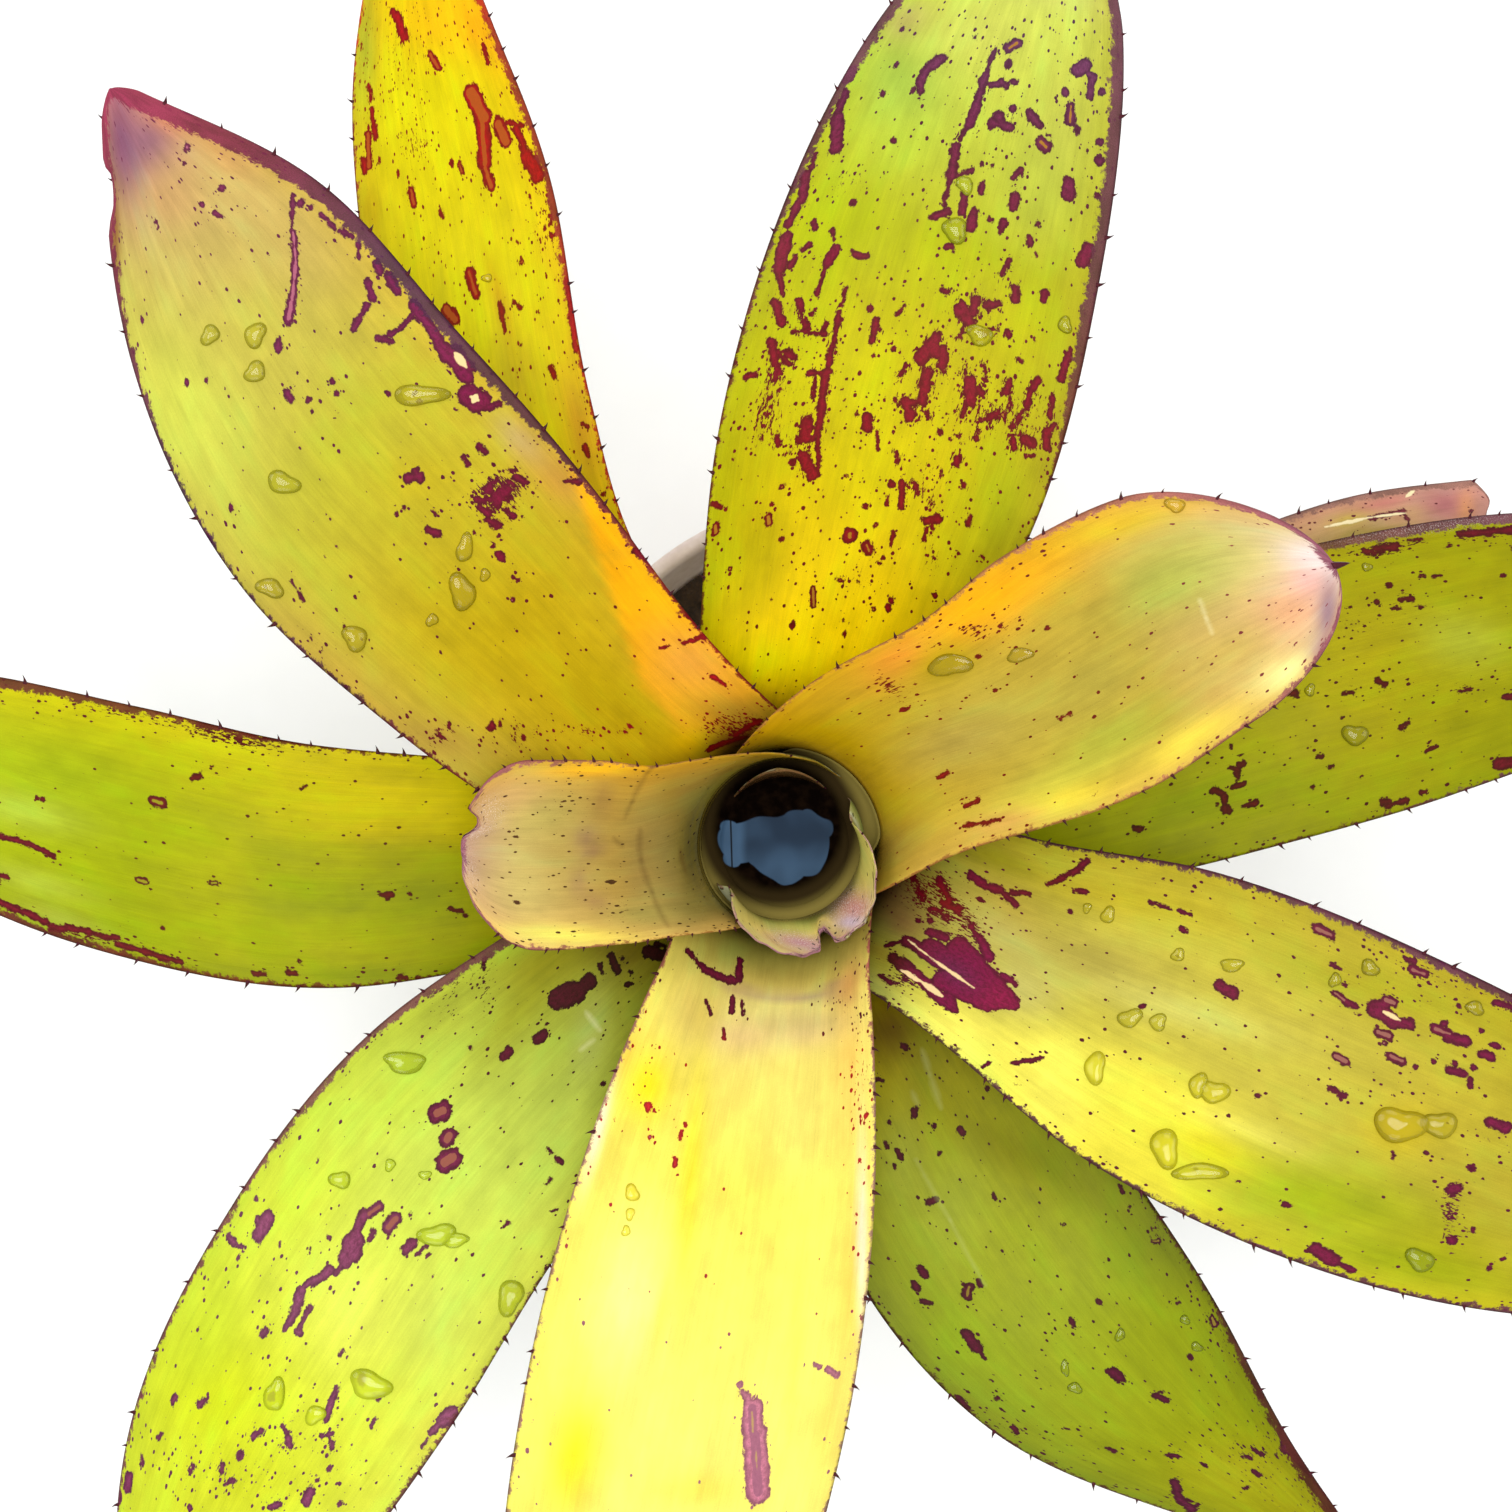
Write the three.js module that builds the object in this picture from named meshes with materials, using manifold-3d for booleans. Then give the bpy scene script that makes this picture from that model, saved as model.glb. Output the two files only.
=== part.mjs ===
import * as THREE from 'three';
import Module from 'manifold-3d';

const wasm = await Module();
wasm.setup();

// A potted bromeliad. Lengths are in mm and angles in degrees. The origin is the middle of the pot's base.
const pot = {
  height: 150, baseRadius: 62, rimRadius: 90, lip: 6, collar: 16, wall: 4, floor: 5, edge: 3, sides: 48,
};
const soil = { top: 134, dome: 4, clear: 0.3 };
// The plant grows a little to one side of the middle of its pot.
const plant = { x: -18, y: -13 };
const stem = { radius: 11, bottom: 112, top: 170, sides: 32 };
const water = { radius: 15.3, bottom: 171.6, top: 212, sides: 32 };
// The sheaths turn up off the stem and stand in one another like trumpets, each a pitch outside the last.
const crown = { height: 178, firstRadius: 17, pitch: 2.2, clear: 0.5 };
const blade = { middle: 1.3, edge: 0.9, rows: 17, columns: 8, throat: 34, sheath: 40, least: 0.9 };
const spine = { root: 1.6, base: 2.6, thick: 0.7, lean: 0.45, perSide: 9 };

// One row for each leaf, from the middle of the rosette outwards. turn is the compass direction and half the
// half-width, both at even steps from the throat to the tip. length runs from the throat to the tip, wall is
// the upright part below the throat, steep its slope, and rise and droop are the slopes where the blade starts
// and ends. cap is the length of the rounded end, tooth the length of the spines, and cup how far the margins
// stand above the middle at the throat and at the tip. notch is a cut in the end: place across, width, depth.
const leaves = [
  { turn: [96, 96, 96], half: [20, 13, 8], length: 20, wall: 24, steep: 89, rise: 90, droop: 92, cap: 9,
    tooth: 1, cup: [0, 0], color: '#7d8432' },
  { turn: [303, 298, 294], half: [33, 30, 26], length: 13.4, wall: 36, steep: 88, rise: 52, droop: 35, cap: 10,
    tooth: 1.2, cup: [6, 15], notch: [0.06, 0.12, 4], color: '#b5b04a' },
  { turn: [145, 172, 181, 181, 181, 180], half: [38, 27, 23.5, 24, 24, 23], length: 76, wall: 34, steep: 88,
    rise: 26, droop: -10, cap: 14, tooth: 1.4, cup: [4.5, 0], notch: [-0.15, 0.2, 2.5], color: '#b9b053' },
  { turn: [47, 41, 33, 32, 31.5, 28], half: [34, 32, 31, 34, 31, 24], length: 143, wall: 27, steep: 87,
    rise: 30, droop: 4, cap: 30, tooth: 2, cup: [4, -2], color: '#cdbd4a' },
  { turn: [264, 261, 260, 259.5, 259, 258], half: [22, 32, 38, 39, 34.5, 22], length: 224, wall: 22,
    steep: 87, rise: 26, droop: -12, cap: 44, tooth: 2.4, cup: [5, -2], color: '#dcdc4e' },
  { turn: [152, 145, 140.5, 138, 134, 131.5], half: [34, 35, 39.5, 40, 30.5, 3], length: 233, wall: 17,
    steep: 86, rise: 28, droop: -4, cap: 5, tooth: 2.6, cup: [5, -2], color: '#b8b542' },
  { turn: [-24, -25, -24.5, -24, -23.2, -23], half: [26, 30, 40.5, 41, 33.5, 14], length: 245, wall: 13,
    steep: 86, rise: 26, droop: -12, cap: 34, tooth: 3, cup: [5, -2], color: '#bcc04a' },
  { turn: [219, 221, 222.3, 226.3, 229.6, 233], half: [24, 30, 37, 38.5, 32, 12], length: 252, wall: 9,
    steep: 85, rise: 24, droop: -16, cap: 34, tooth: 3.2, cup: [5, -2], color: '#a9bf38' },
  { turn: [78, 77, 76, 75.7, 75, 74], half: [30, 38, 44, 41.5, 32.5, 14], length: 237, wall: 6,
    steep: 84, rise: 24, droop: -12, cap: 34, tooth: 3.3, cup: [5, -2], color: '#a6b828' },
  { turn: [-62, -62, -61.5, -58.5, -54, -51], half: [27, 33, 38.5, 33.5, 15, 2], length: 233, wall: 4,
    steep: 78, rise: 20, droop: -18, cap: 5, tooth: 3.2, cup: [5, -2], color: '#7f952e' },
  { turn: [184, 184, 183, 179, 175.5, 173], half: [26, 28, 32.5, 33.4, 28.5, 12], length: 247, wall: 3,
    steep: 74, rise: 18, droop: -16, cap: 30, tooth: 3, cup: [5, -2], color: '#a8b032' },
  { turn: [12, 14, 16, 16, 15.5, 15], half: [28, 34, 38, 37, 30, 12], length: 247, wall: 2,
    steep: 70, rise: 16, droop: -14, cap: 30, tooth: 3, cup: [5, -2], color: '#99a236' },
  { turn: [140, 136, 126.5, 118.5, 114.5, 111], half: [26, 28, 30, 28.5, 20, 4], length: 256, wall: 2,
    steep: 66, rise: 18, droop: -14, cap: 12, tooth: 3.2, cup: [4, -2], color: '#d9b416' },
  { turn: [18, 19, 20, 20, 20, 20], half: [26, 32, 36, 37, 36, 28], length: 190, wall: 2,
    steep: 60, rise: 12, droop: -12, cap: 4, tooth: 3.2, cup: [4, -2], notch: [0.5, 0.2, 5], color: '#a06a4a' },
];

const radians = Math.PI / 180;
const clamp = (x) => Math.min(1, Math.max(0, x));
const smooth = (x) => clamp(x) ** 2 * (3 - 2 * clamp(x));
const paint = (color, roughness) => new THREE.MeshStandardMaterial({ color, roughness, metalness: 0 });

// A smooth curve through evenly spaced values, for u from 0 to 1.
function through(values, u) {
  const last = values.length - 1;
  const x = clamp(u) * last;
  const i = Math.min(last - 1, Math.floor(x));
  const t = x - i;
  const [b, c] = [values[i], values[i + 1]];
  const a = i > 0 ? values[i - 1] : 2 * b - c;
  const d = i < last - 1 ? values[i + 2] : 2 * c - b;
  return b + 0.5 * t * (c - a + t * (2 * a - 5 * b + 4 * c - d + t * (3 * (b - c) + d - a)));
}

// The middle line of a leaf in its upright plane, as [radius, height] for a distance s along it: a foot that
// turns up off the stem, an upright sheath, the throat that bends outwards, and the blade.
function middleLine(leaf, rank) {
  const radius = crown.firstRadius + crown.pitch * rank;
  const reach = radius - stem.radius;
  const steep = leaf.steep * radians;
  const foot = reach * steep;
  const throat = Math.min(blade.throat, leaf.length / 2);
  const start = foot + leaf.wall;
  const total = start + leaf.length;
  const slope = (s) => {
    const rising = steep * clamp(s / foot) - (steep - leaf.rise * radians) * smooth((s - start) / throat);
    const along = clamp((s - start - throat) / (leaf.length - throat));
    return rising + (leaf.droop - leaf.rise) * radians * along ** 1.4;
  };
  const steps = 300;
  const step = total / steps;
  const points = [[stem.radius + crown.clear, crown.height - reach]];
  for (let i = 0; i < steps; i++) {
    const angle = slope((i + 0.5) * step);
    points.push([points[i][0] + step * Math.cos(angle), points[i][1] + step * Math.sin(angle)]);
  }
  const at = (s) => {
    const x = Math.min(steps - 1e-6, Math.max(0, s / step));
    const i = Math.floor(x);
    return [0, 1].map((k) => points[i][k] + (x - i) * (points[i + 1][k] - points[i][k]));
  };
  return { radius, foot, throat, start, total, slope, at };
}

// Half the width at a distance s: the sheath wraps the stem and runs out into the blade.
function halfWidth(leaf, line, s) {
  const wrap = Math.min(blade.sheath, 1.9 * line.radius);
  const root = 1.7 * stem.radius;
  const sheath = root + (wrap - root) * smooth(s / line.foot);
  const rounding = clamp((s - line.total + leaf.cap) / leaf.cap);
  const free = through(leaf.half, (s - line.start) / leaf.length) * Math.sqrt(1 - rounding ** 2);
  const opened = smooth((s - line.foot - 0.3 * leaf.wall) / (0.7 * leaf.wall + line.throat));
  return Math.max(blade.least, sheath + (free - sheath) * opened);
}

// A point on the middle surface of a leaf: s along it and v from -1 to 1 across it.
function bladePoint(leaf, line, s, v) {
  const half = halfWidth(leaf, line, s);
  const u = clamp((s - line.start) / leaf.length);
  let along = s;
  if (leaf.notch) {
    const [place, width, depth] = leaf.notch;
    along -= depth * Math.exp(-(((v - place) / width) ** 2)) * smooth((s - line.total + 16) / 16);
  }
  const [radius, height] = line.at(along);
  const slope = line.slope(along);
  const [low, high] = leaf.cup;
  const lift = (low + (high - low) * u) * smooth(2.5 * u) * ((v * half) / 38) ** 2;
  const turn = through(leaf.turn, u) * radians + (half * v) / radius;
  const out = radius - lift * Math.sin(slope);
  return new THREE.Vector3(out * Math.cos(turn), out * Math.sin(turn), height + lift * Math.cos(slope));
}

function bladeNormal(leaf, line, s, v) {
  const [ds, dv] = [0.25, 0.02];
  const along = bladePoint(leaf, line, Math.min(s + ds, line.total - 0.01), v)
    .sub(bladePoint(leaf, line, Math.max(0, s - ds), v));
  const across = bladePoint(leaf, line, s, v + dv).sub(bladePoint(leaf, line, s, v - dv));
  return along.cross(across).normalize();
}

// The places of the cross rows, closer where the leaf bends and where its end is rounded.
function rowPlaces(leaf, line) {
  const rows = leaf.length < 80 ? blade.rows - 3 : blade.rows;
  const knots = [0, line.foot, line.start, line.start + line.throat, line.total - leaf.cap, line.total];
  const shares = [0.14, 0.1, 0.24, 0.34, 0.18];
  const places = [0];
  shares.forEach((share, k) => {
    const count = Math.max(1, Math.round(share * rows));
    for (let i = 1; i <= count; i++) {
      const eased = k === shares.length - 1 ? 1 - (1 - i / count) ** 1.6 : i / count;
      places.push(knots[k] + (knots[k + 1] - knots[k]) * eased);
    }
  });
  return places.filter((s, i) => i === 0 || s - places[i - 1] > 0.4);
}

// A closed shell from two grids of points, half the thickness above and below the middle surface. Both
// grids are split along the same diagonals.
function bladeSolid(leaf, line) {
  const places = rowPlaces(leaf, line);
  const across = blade.columns + 1;
  const points = [];
  for (const side of [1, -1]) {
    for (const s of places) {
      for (let j = 0; j < across; j++) {
        const v = (2 * j) / blade.columns - 1;
        const thick = blade.edge + (blade.middle - blade.edge) * (1 - v * v);
        const normal = bladeNormal(leaf, line, s, v);
        points.push(bladePoint(leaf, line, s, v).addScaledVector(normal, (side * thick) / 2));
      }
    }
  }
  const under = places.length * across;
  const faces = [];
  const quad = (a, b, c, d) => faces.push([a, b, c], [a, c, d]);
  for (let i = 0; i < places.length - 1; i++) {
    const row = i * across;
    for (let j = 0; j < blade.columns; j++) {
      const a = row + j;
      const b = a + across;
      quad(a, b, b + 1, a + 1);
      faces.push([under + a, under + b + 1, under + b], [under + a, under + a + 1, under + b + 1]);
    }
    const right = row + blade.columns;
    quad(row, under + row, under + row + across, row + across);
    quad(right, right + across, under + right + across, under + right);
  }
  const end = under - across;
  for (let j = 0; j < blade.columns; j++) {
    quad(j, j + 1, under + j + 1, under + j);
    quad(end + j, under + end + j, under + end + j + 1, end + j + 1);
  }
  return solid(points, faces);
}

// A hooked three-sided spine: it stands square to the margin, leans to the leaf's tip and has its root sunk in.
function spineSolid(leaf, line, s, side) {
  const edge = bladePoint(leaf, line, s, side);
  const tipward = bladePoint(leaf, line, s + 0.5, side).sub(bladePoint(leaf, line, s - 0.5, side)).normalize();
  const up = bladeNormal(leaf, line, s, side);
  const out = tipward.clone().cross(up).normalize().multiplyScalar(-side);
  const at = (along, away, above) => edge.clone().addScaledVector(tipward, along)
    .addScaledVector(out, away).addScaledVector(up, above);
  const corners = [
    at(-spine.base / 2, -spine.root, -spine.thick / 2),
    at(spine.base / 2, -spine.root, -spine.thick / 2),
    at(0, -spine.root, spine.thick / 2),
    at(spine.lean * leaf.tooth, leaf.tooth, 0),
  ];
  const faces = [[0, 1, 2], [0, 3, 1], [1, 3, 2], [2, 3, 0]];
  return solid(corners, side > 0 ? faces : faces.map((face) => [...face].reverse()));
}

// A leaf and its spines, which stand in turn on the two margins from the throat to the tip.
function leafSolid(leaf, rank) {
  const line = middleLine(leaf, rank);
  const first = line.start + 0.35 * line.throat;
  const last = line.total - 0.35 * leaf.cap;
  const count = Math.max(3, Math.round(spine.perSide * Math.min(1, (last - first) / 200)));
  let shape = bladeSolid(leaf, line);
  for (const side of [-1, 1]) {
    for (let i = 0; i < count; i++) {
      const place = (i + (side > 0 ? 0.75 : 0.25)) / count;
      shape = shape.add(spineSolid(leaf, line, first + (last - first) * place, side));
    }
  }
  return shape;
}

function solid(points, faces) {
  return new wasm.Manifold(new wasm.Mesh({
    numProp: 3,
    vertProperties: new Float32Array(points.flatMap((point) => point.toArray())),
    triVerts: new Uint32Array(faces.flat()),
  }));
}

function solidOf(geometry) {
  const mesh = new wasm.Mesh({
    numProp: 3,
    vertProperties: new Float32Array(geometry.getAttribute('position').array),
    triVerts: new Uint32Array(geometry.index.array),
  });
  mesh.merge();
  return new wasm.Manifold(mesh);
}

function geometryOf(shape) {
  const { vertProperties, triVerts } = shape.getMesh();
  const geometry = new THREE.BufferGeometry();
  geometry.setAttribute('position', new THREE.BufferAttribute(new Float32Array(vertProperties), 3));
  geometry.setIndex(new THREE.BufferAttribute(new Uint32Array(triVerts), 1));
  geometry.computeVertexNormals();
  return geometry;
}

function named(name, geometry, material) {
  const mesh = new THREE.Mesh(geometry, material);
  mesh.name = name;
  return mesh;
}

// A turned shape about the Z axis from [radius, height] points that start and end on the axis.
function turned(outline, sides) {
  const geometry = new THREE.LatheGeometry(outline.map(([r, z]) => new THREE.Vector2(r, z)), sides);
  return geometry.rotateX(Math.PI / 2);
}

// The pot's inner wall runs straight from just above the floor to just below the collar.
const potInner = {
  low: [pot.baseRadius - pot.wall + 1, pot.floor + 4],
  high: [pot.rimRadius - pot.lip - pot.wall + 1, pot.height - pot.collar - 4],
};

// A tapered pot with a thicker collar and a rounded rim.
function potGeometry() {
  const { height, baseRadius, rimRadius, lip, collar, wall, floor, edge } = pot;
  const neck = rimRadius - lip + 1;
  const under = height - collar;
  return turned([
    [0, 0], [baseRadius - edge, 0], [baseRadius, edge],
    [neck, under - 2], [rimRadius - 1, under], [rimRadius, under + edge],
    [rimRadius, height - edge], [rimRadius - 1.5, height - 0.6], [rimRadius - edge, height],
    [rimRadius - lip + 1.4, height - 0.6], [rimRadius - lip, height - edge],
    potInner.high, potInner.low, [baseRadius - wall - edge, floor], [0, floor],
  ], pot.sides);
}

// The soil fills the pot, a little mounded, with a plain hole for the stem.
function soilGeometry() {
  const { clear, top, dome } = soil;
  const [low, high] = [potInner.low, potInner.high];
  const body = turned([
    [0, low[1] + clear], [low[0] - clear, low[1] + clear], [high[0] - clear, high[1] - clear],
    [0.6 * pot.rimRadius, top], [0.25 * pot.rimRadius, top + dome], [0, top + dome],
  ], pot.sides);
  const hole = turned([
    [0, stem.bottom - clear], [stem.radius + clear, stem.bottom - clear],
    [stem.radius + clear, crown.height], [0, crown.height],
  ], stem.sides).translate(plant.x, plant.y, 0);
  return geometryOf(solidOf(body).subtract(solidOf(hole)));
}

function stemGeometry() {
  const { radius, bottom, top, sides } = stem;
  return turned([[0, bottom], [radius, bottom], [radius, top - 3], [radius - 3, top], [0, top + 1]], sides);
}

// The water stands on the stem's crown and fills the innermost sheath.
function waterGeometry() {
  const { radius, bottom, top, sides } = water;
  return turned([
    [0, bottom], [8, bottom], [11, bottom + 2.1], [14, bottom + 3.6], [radius, bottom + 7.4],
    [radius, top], [0, top],
  ], sides);
}

const rosette = new THREE.Group();
rosette.position.set(plant.x, plant.y, 0);
rosette.add(named('stem', stemGeometry(), paint('#8a8f55', 0.7)));
rosette.add(named('tank_water', waterGeometry(), paint('#26343f', 0.05)));
leaves.forEach((leaf, rank) => {
  const name = `leaf_${String(rank + 1).padStart(2, '0')}`;
  rosette.add(named(name, geometryOf(leafSolid(leaf, rank)), paint(leaf.color, 0.45)));
});

const bromeliad = new THREE.Group();
bromeliad.add(named('pot', potGeometry(), paint('#e3d5cf', 0.5)));
bromeliad.add(named('soil', soilGeometry(), paint('#3a2b22', 0.95)));
bromeliad.add(rosette);

export default bromeliad;
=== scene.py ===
import math

import bpy
import numpy as np
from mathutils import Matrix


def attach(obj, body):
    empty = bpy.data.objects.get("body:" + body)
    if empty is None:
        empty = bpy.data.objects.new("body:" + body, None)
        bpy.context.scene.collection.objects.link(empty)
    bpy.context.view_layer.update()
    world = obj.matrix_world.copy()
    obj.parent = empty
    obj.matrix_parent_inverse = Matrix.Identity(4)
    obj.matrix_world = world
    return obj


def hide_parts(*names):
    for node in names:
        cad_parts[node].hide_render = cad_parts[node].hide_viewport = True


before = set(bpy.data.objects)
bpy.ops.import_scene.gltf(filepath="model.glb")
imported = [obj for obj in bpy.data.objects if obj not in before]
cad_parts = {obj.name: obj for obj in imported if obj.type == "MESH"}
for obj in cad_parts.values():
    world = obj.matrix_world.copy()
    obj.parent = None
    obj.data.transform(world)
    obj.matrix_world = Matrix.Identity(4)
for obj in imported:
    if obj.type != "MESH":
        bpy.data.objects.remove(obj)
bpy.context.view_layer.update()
print("frame loaded with", len(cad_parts), "nodes")

# All shapes are worked out in mm and put into the meshes in metres.
plant = {"x": -18.0, "y": -13.0, "stem": 11.0, "clear": 0.5, "crown": 178.0, "firstRadius": 17.0,
         "pitch": 2.2}
camera = {"place": (-25.6, 10.3, 645.0), "focal": 1620.0, "side": 1512.0}


def linear(text, alpha=1.0):  # an sRGB colour such as #a0b030 as the linear colour that shaders use
    part = np.array([int(text[i:i + 2], 16) / 255 for i in (1, 3, 5)])
    part = np.where(part <= 0.04045, part / 12.92, ((part + 0.055) / 1.055) ** 2.4)
    return (*part, alpha)


def smooth(x):  # 0 below 0, 1 above 1 and an S curve between
    x = np.clip(x, 0, 1)
    return x * x * (3 - 2 * x)


def curveThrough(values, u):  # a smooth curve through evenly spaced values, for u from 0 to 1
    values = np.asarray(values, float)
    ends = np.concatenate([[2 * values[0] - values[1]], values, [2 * values[-1] - values[-2]]])
    x = np.clip(u, 0, 1) * (len(values) - 1)
    i = np.minimum(x.astype(int), len(values) - 2)
    t = x - i
    a, b, c, d = ends[i], ends[i + 1], ends[i + 2], ends[i + 3]
    return b + 0.5 * t * (c - a + t * (2 * a - 5 * b + 4 * c - d + t * (3 * (b - c) + d - a)))


def seenAt(points):  # where points come in the camera's view: x to the right and y down, 1512 a side
    left, below, above = camera["place"]
    scale = camera["focal"] / (above - points[..., 2])
    x = camera["side"] / 2 + scale * (points[..., 0] - left)
    y = camera["side"] / 2 - scale * (points[..., 1] - below)
    return np.stack([x, y], axis=-1)


def putMesh(name, points, faces, material, shade=True):  # points in mm, as an object at the origin
    mesh = bpy.data.meshes.new(name)
    mesh.from_pydata((np.asarray(points, float) * 0.001).tolist(), [], faces)
    mesh.polygons.foreach_set("use_smooth", np.full(len(mesh.polygons), shade))
    mesh.materials.append(material)
    mesh.update()
    piece = bpy.data.objects.new(name, mesh)
    bpy.context.scene.collection.objects.link(piece)
    return piece


def putValues(piece, name, kind, values, domain="POINT"):  # a value for each point or face
    attribute = piece.data.attributes.new(name, kind, domain)
    key = {"FLOAT_VECTOR": "vector", "FLOAT_COLOR": "color"}[kind]
    attribute.data.foreach_set(key, np.asarray(values, np.float32).ravel())


def ringQuads(rings, sides):  # the quads that join each ring of points to the next
    i, j = np.arange(rings - 1)[:, None] * sides, np.arange(sides)[None, :]
    nextJ = (j + 1) % sides
    return np.stack([i + j, i + nextJ, i + sides + nextJ, i + sides + j], axis=-1).reshape(-1, 4)


def fan(centre, first, sides):  # the triangles from one point to the ring whose points start at first
    j = np.arange(sides)
    return np.stack([np.full(sides, centre), first + j, first + (j + 1) % sides], axis=-1)


quadTurned, fanTurned = [0, 3, 2, 1], [0, 2, 1]  # the same faces with their other side outward


# ---- leaf shapes

# turn is the compass direction and half the half-width, both at even steps from the throat to the tip. length
# runs from the throat to the tip, wall is the upright part below the throat, steep its slope, and rise and
# droop are the slopes where the blade starts and ends. cap is the length of the rounded end, cup how far the
# margins stand above the middle at the throat and at the tip. notch is a cut in the end, by its place, width
# and depth, fray makes the end uneven, ripples are waves along the leaf and bites are missing from a margin.
leafShapes = [
    {"turn": [96, 96, 96], "half": [20, 13, 8], "length": 20, "wall": 24, "steep": 89, "rise": 86,
     "droop": 76, "cap": 9, "cup": [0, 0]},
    {"turn": [303, 298, 294], "half": [33, 30, 30], "length": 16.3, "wall": 36, "steep": 88, "rise": 52,
     "droop": 35, "cap": 8, "cup": [6, 9], "columns": 81, "notch": [-0.5, 1.9, 6],
     "fray": [(0.5, 9, 1), (0.35, 31, 0)]},
    {"turn": [145, 172, 181, 181, 181, 180], "half": [38, 27, 23.5, 24, 24, 23], "length": 76, "wall": 34,
     "steep": 88, "rise": 26, "droop": -10, "cap": 14, "cup": [4.5, 0], "notch": [-7, 2.6, 3],
     "fray": [(0.3, 7, 2), (0.2, 23, 0)], "ripples": [(0.55, 7.5, 20, 66)]},
    {"turn": [47, 41, 33, 32, 31.5, 28], "half": [34, 32, 31, 34, 31, 24], "length": 143, "wall": 27,
     "steep": 87, "rise": 30, "droop": 4, "cap": 30, "cup": [4, -2]},
    {"turn": [264, 261, 260, 259.5, 259, 258], "half": [22, 32, 38, 39, 34.5, 22], "length": 224, "wall": 22,
     "steep": 87, "rise": 26, "droop": -12, "cap": 44, "cup": [5, -2]},
    {"turn": [152, 145, 140.5, 138, 134, 131.5], "half": [34, 35, 39.5, 40, 30.5, 3], "length": 233,
     "wall": 17, "steep": 86, "rise": 28, "droop": -4, "cap": 5, "cup": [5, -2],
     "bites": [(0.925, 1, 4.5, 2.6)]},
    {"turn": [-24, -25, -24.5, -24, -23.2, -23], "half": [26, 30, 40.5, 41, 33.5, 14], "length": 245,
     "wall": 13, "steep": 86, "rise": 26, "droop": -12, "cap": 34, "cup": [5, -2]},
    {"turn": [219, 221, 222.3, 226.3, 229.6, 233], "half": [24, 30, 37, 38.5, 32, 12], "length": 252,
     "wall": 9, "steep": 85, "rise": 24, "droop": -16, "cap": 34, "cup": [5, -2]},
    {"turn": [78, 77, 76, 75.7, 75, 74], "half": [30, 38, 44, 41.5, 32.5, 14], "length": 237, "wall": 6,
     "steep": 84, "rise": 24, "droop": -12, "cap": 34, "cup": [5, -2]},
    {"turn": [-62, -62, -61.5, -58.5, -54, -51], "half": [27, 33, 38.5, 33.5, 15, 2], "length": 233,
     "wall": 4, "steep": 78, "rise": 20, "droop": -18, "cap": 5, "cup": [5, -2]},
    {"turn": [184, 184, 183, 179, 175.5, 173], "half": [26, 28, 32.5, 33.4, 28.5, 12], "length": 247,
     "wall": 3, "steep": 74, "rise": 18, "droop": -16, "cap": 30, "cup": [5, -2]},
    {"turn": [12, 14, 16, 16, 15.5, 15], "half": [28, 34, 38, 37, 30, 12], "length": 247, "wall": 2,
     "steep": 70, "rise": 16, "droop": -14, "cap": 30, "cup": [5, -2]},
    {"turn": [140, 136, 126.5, 118.5, 114.5, 111], "half": [26, 28, 30, 28.5, 20, 4], "length": 256,
     "wall": 2, "steep": 66, "rise": 18, "droop": -14, "cap": 12, "cup": [4, -2]},
    {"turn": [18, 19, 20, 20, 20, 20], "half": [26, 32, 36, 37, 36, 28], "length": 190, "wall": 2,
     "steep": 60, "rise": 12, "droop": -12, "cap": 4, "cup": [4, -2], "notch": [14, 6, 5]},
]
blade = {"throat": 34.0, "sheath": 40.0, "least": 0.5, "middle": 1.15, "edge": 0.55, "wide": 38.0,
         "rowStep": 1.9, "columns": 41}
spine = {"sides": 6, "root": 0.4, "lean": (0.55, 0.25), "wide": 0.42, "thin": 0.22, "thickest": 0.42,
         "end": 0.03}


# The middle line of a leaf in its upright plane: its slope turns up off the stem along the foot, stays steep
# up the sheath, bends out over the throat and then droops with the power 1.4 of the way to the tip. The line
# is the running sum of the slope's cosine and sine.
def middleLine(leaf, rank):
    line = {"radius": plant["firstRadius"] + plant["pitch"] * rank}
    reach = line["radius"] - plant["stem"]
    line["steep"] = math.radians(leaf["steep"])
    line["foot"] = reach * line["steep"]
    line["throat"] = min(blade["throat"], leaf["length"] / 2)
    line["start"] = line["foot"] + leaf["wall"]
    line["total"] = line["start"] + leaf["length"]
    steps = 600
    step = line["total"] / steps
    angle = slopeAt(leaf, line, (np.arange(steps) + 0.5) * step)
    line["s"] = np.arange(steps + 1) * step
    line["out"] = plant["stem"] + plant["clear"] + np.concatenate([[0], np.cumsum(np.cos(angle) * step)])
    line["up"] = plant["crown"] - reach + np.concatenate([[0], np.cumsum(np.sin(angle) * step)])
    return line


def slopeAt(leaf, line, s):
    rise, droop = math.radians(leaf["rise"]), math.radians(leaf["droop"])
    upright = line["steep"] * np.clip(s / line["foot"], 0, 1)
    throat = (line["steep"] - rise) * smooth((s - line["start"]) / line["throat"])
    along = np.clip((s - line["start"] - line["throat"]) / (leaf["length"] - line["throat"]), 0, 1)
    return upright - throat + (droop - rise) * along ** 1.4


# Half the width: the sheath wraps the stem and runs out into the blade, whose end is rounded as an ellipse.
def halfWidth(leaf, line, s):
    wrap = min(blade["sheath"], 1.9 * line["radius"])
    root = 1.7 * plant["stem"]
    sheath = root + (wrap - root) * smooth(s / line["foot"])
    rounding = np.clip((s - line["total"] + leaf["cap"]) / leaf["cap"], 0, 1)
    free = curveThrough(leaf["half"], (s - line["start"]) / leaf["length"]) * np.sqrt(1 - rounding ** 2)
    opened = smooth((s - line["foot"] - 0.3 * leaf["wall"]) / (0.7 * leaf["wall"] + line["throat"]))
    return np.maximum(blade["least"], sheath + (free - sheath) * opened)


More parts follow.
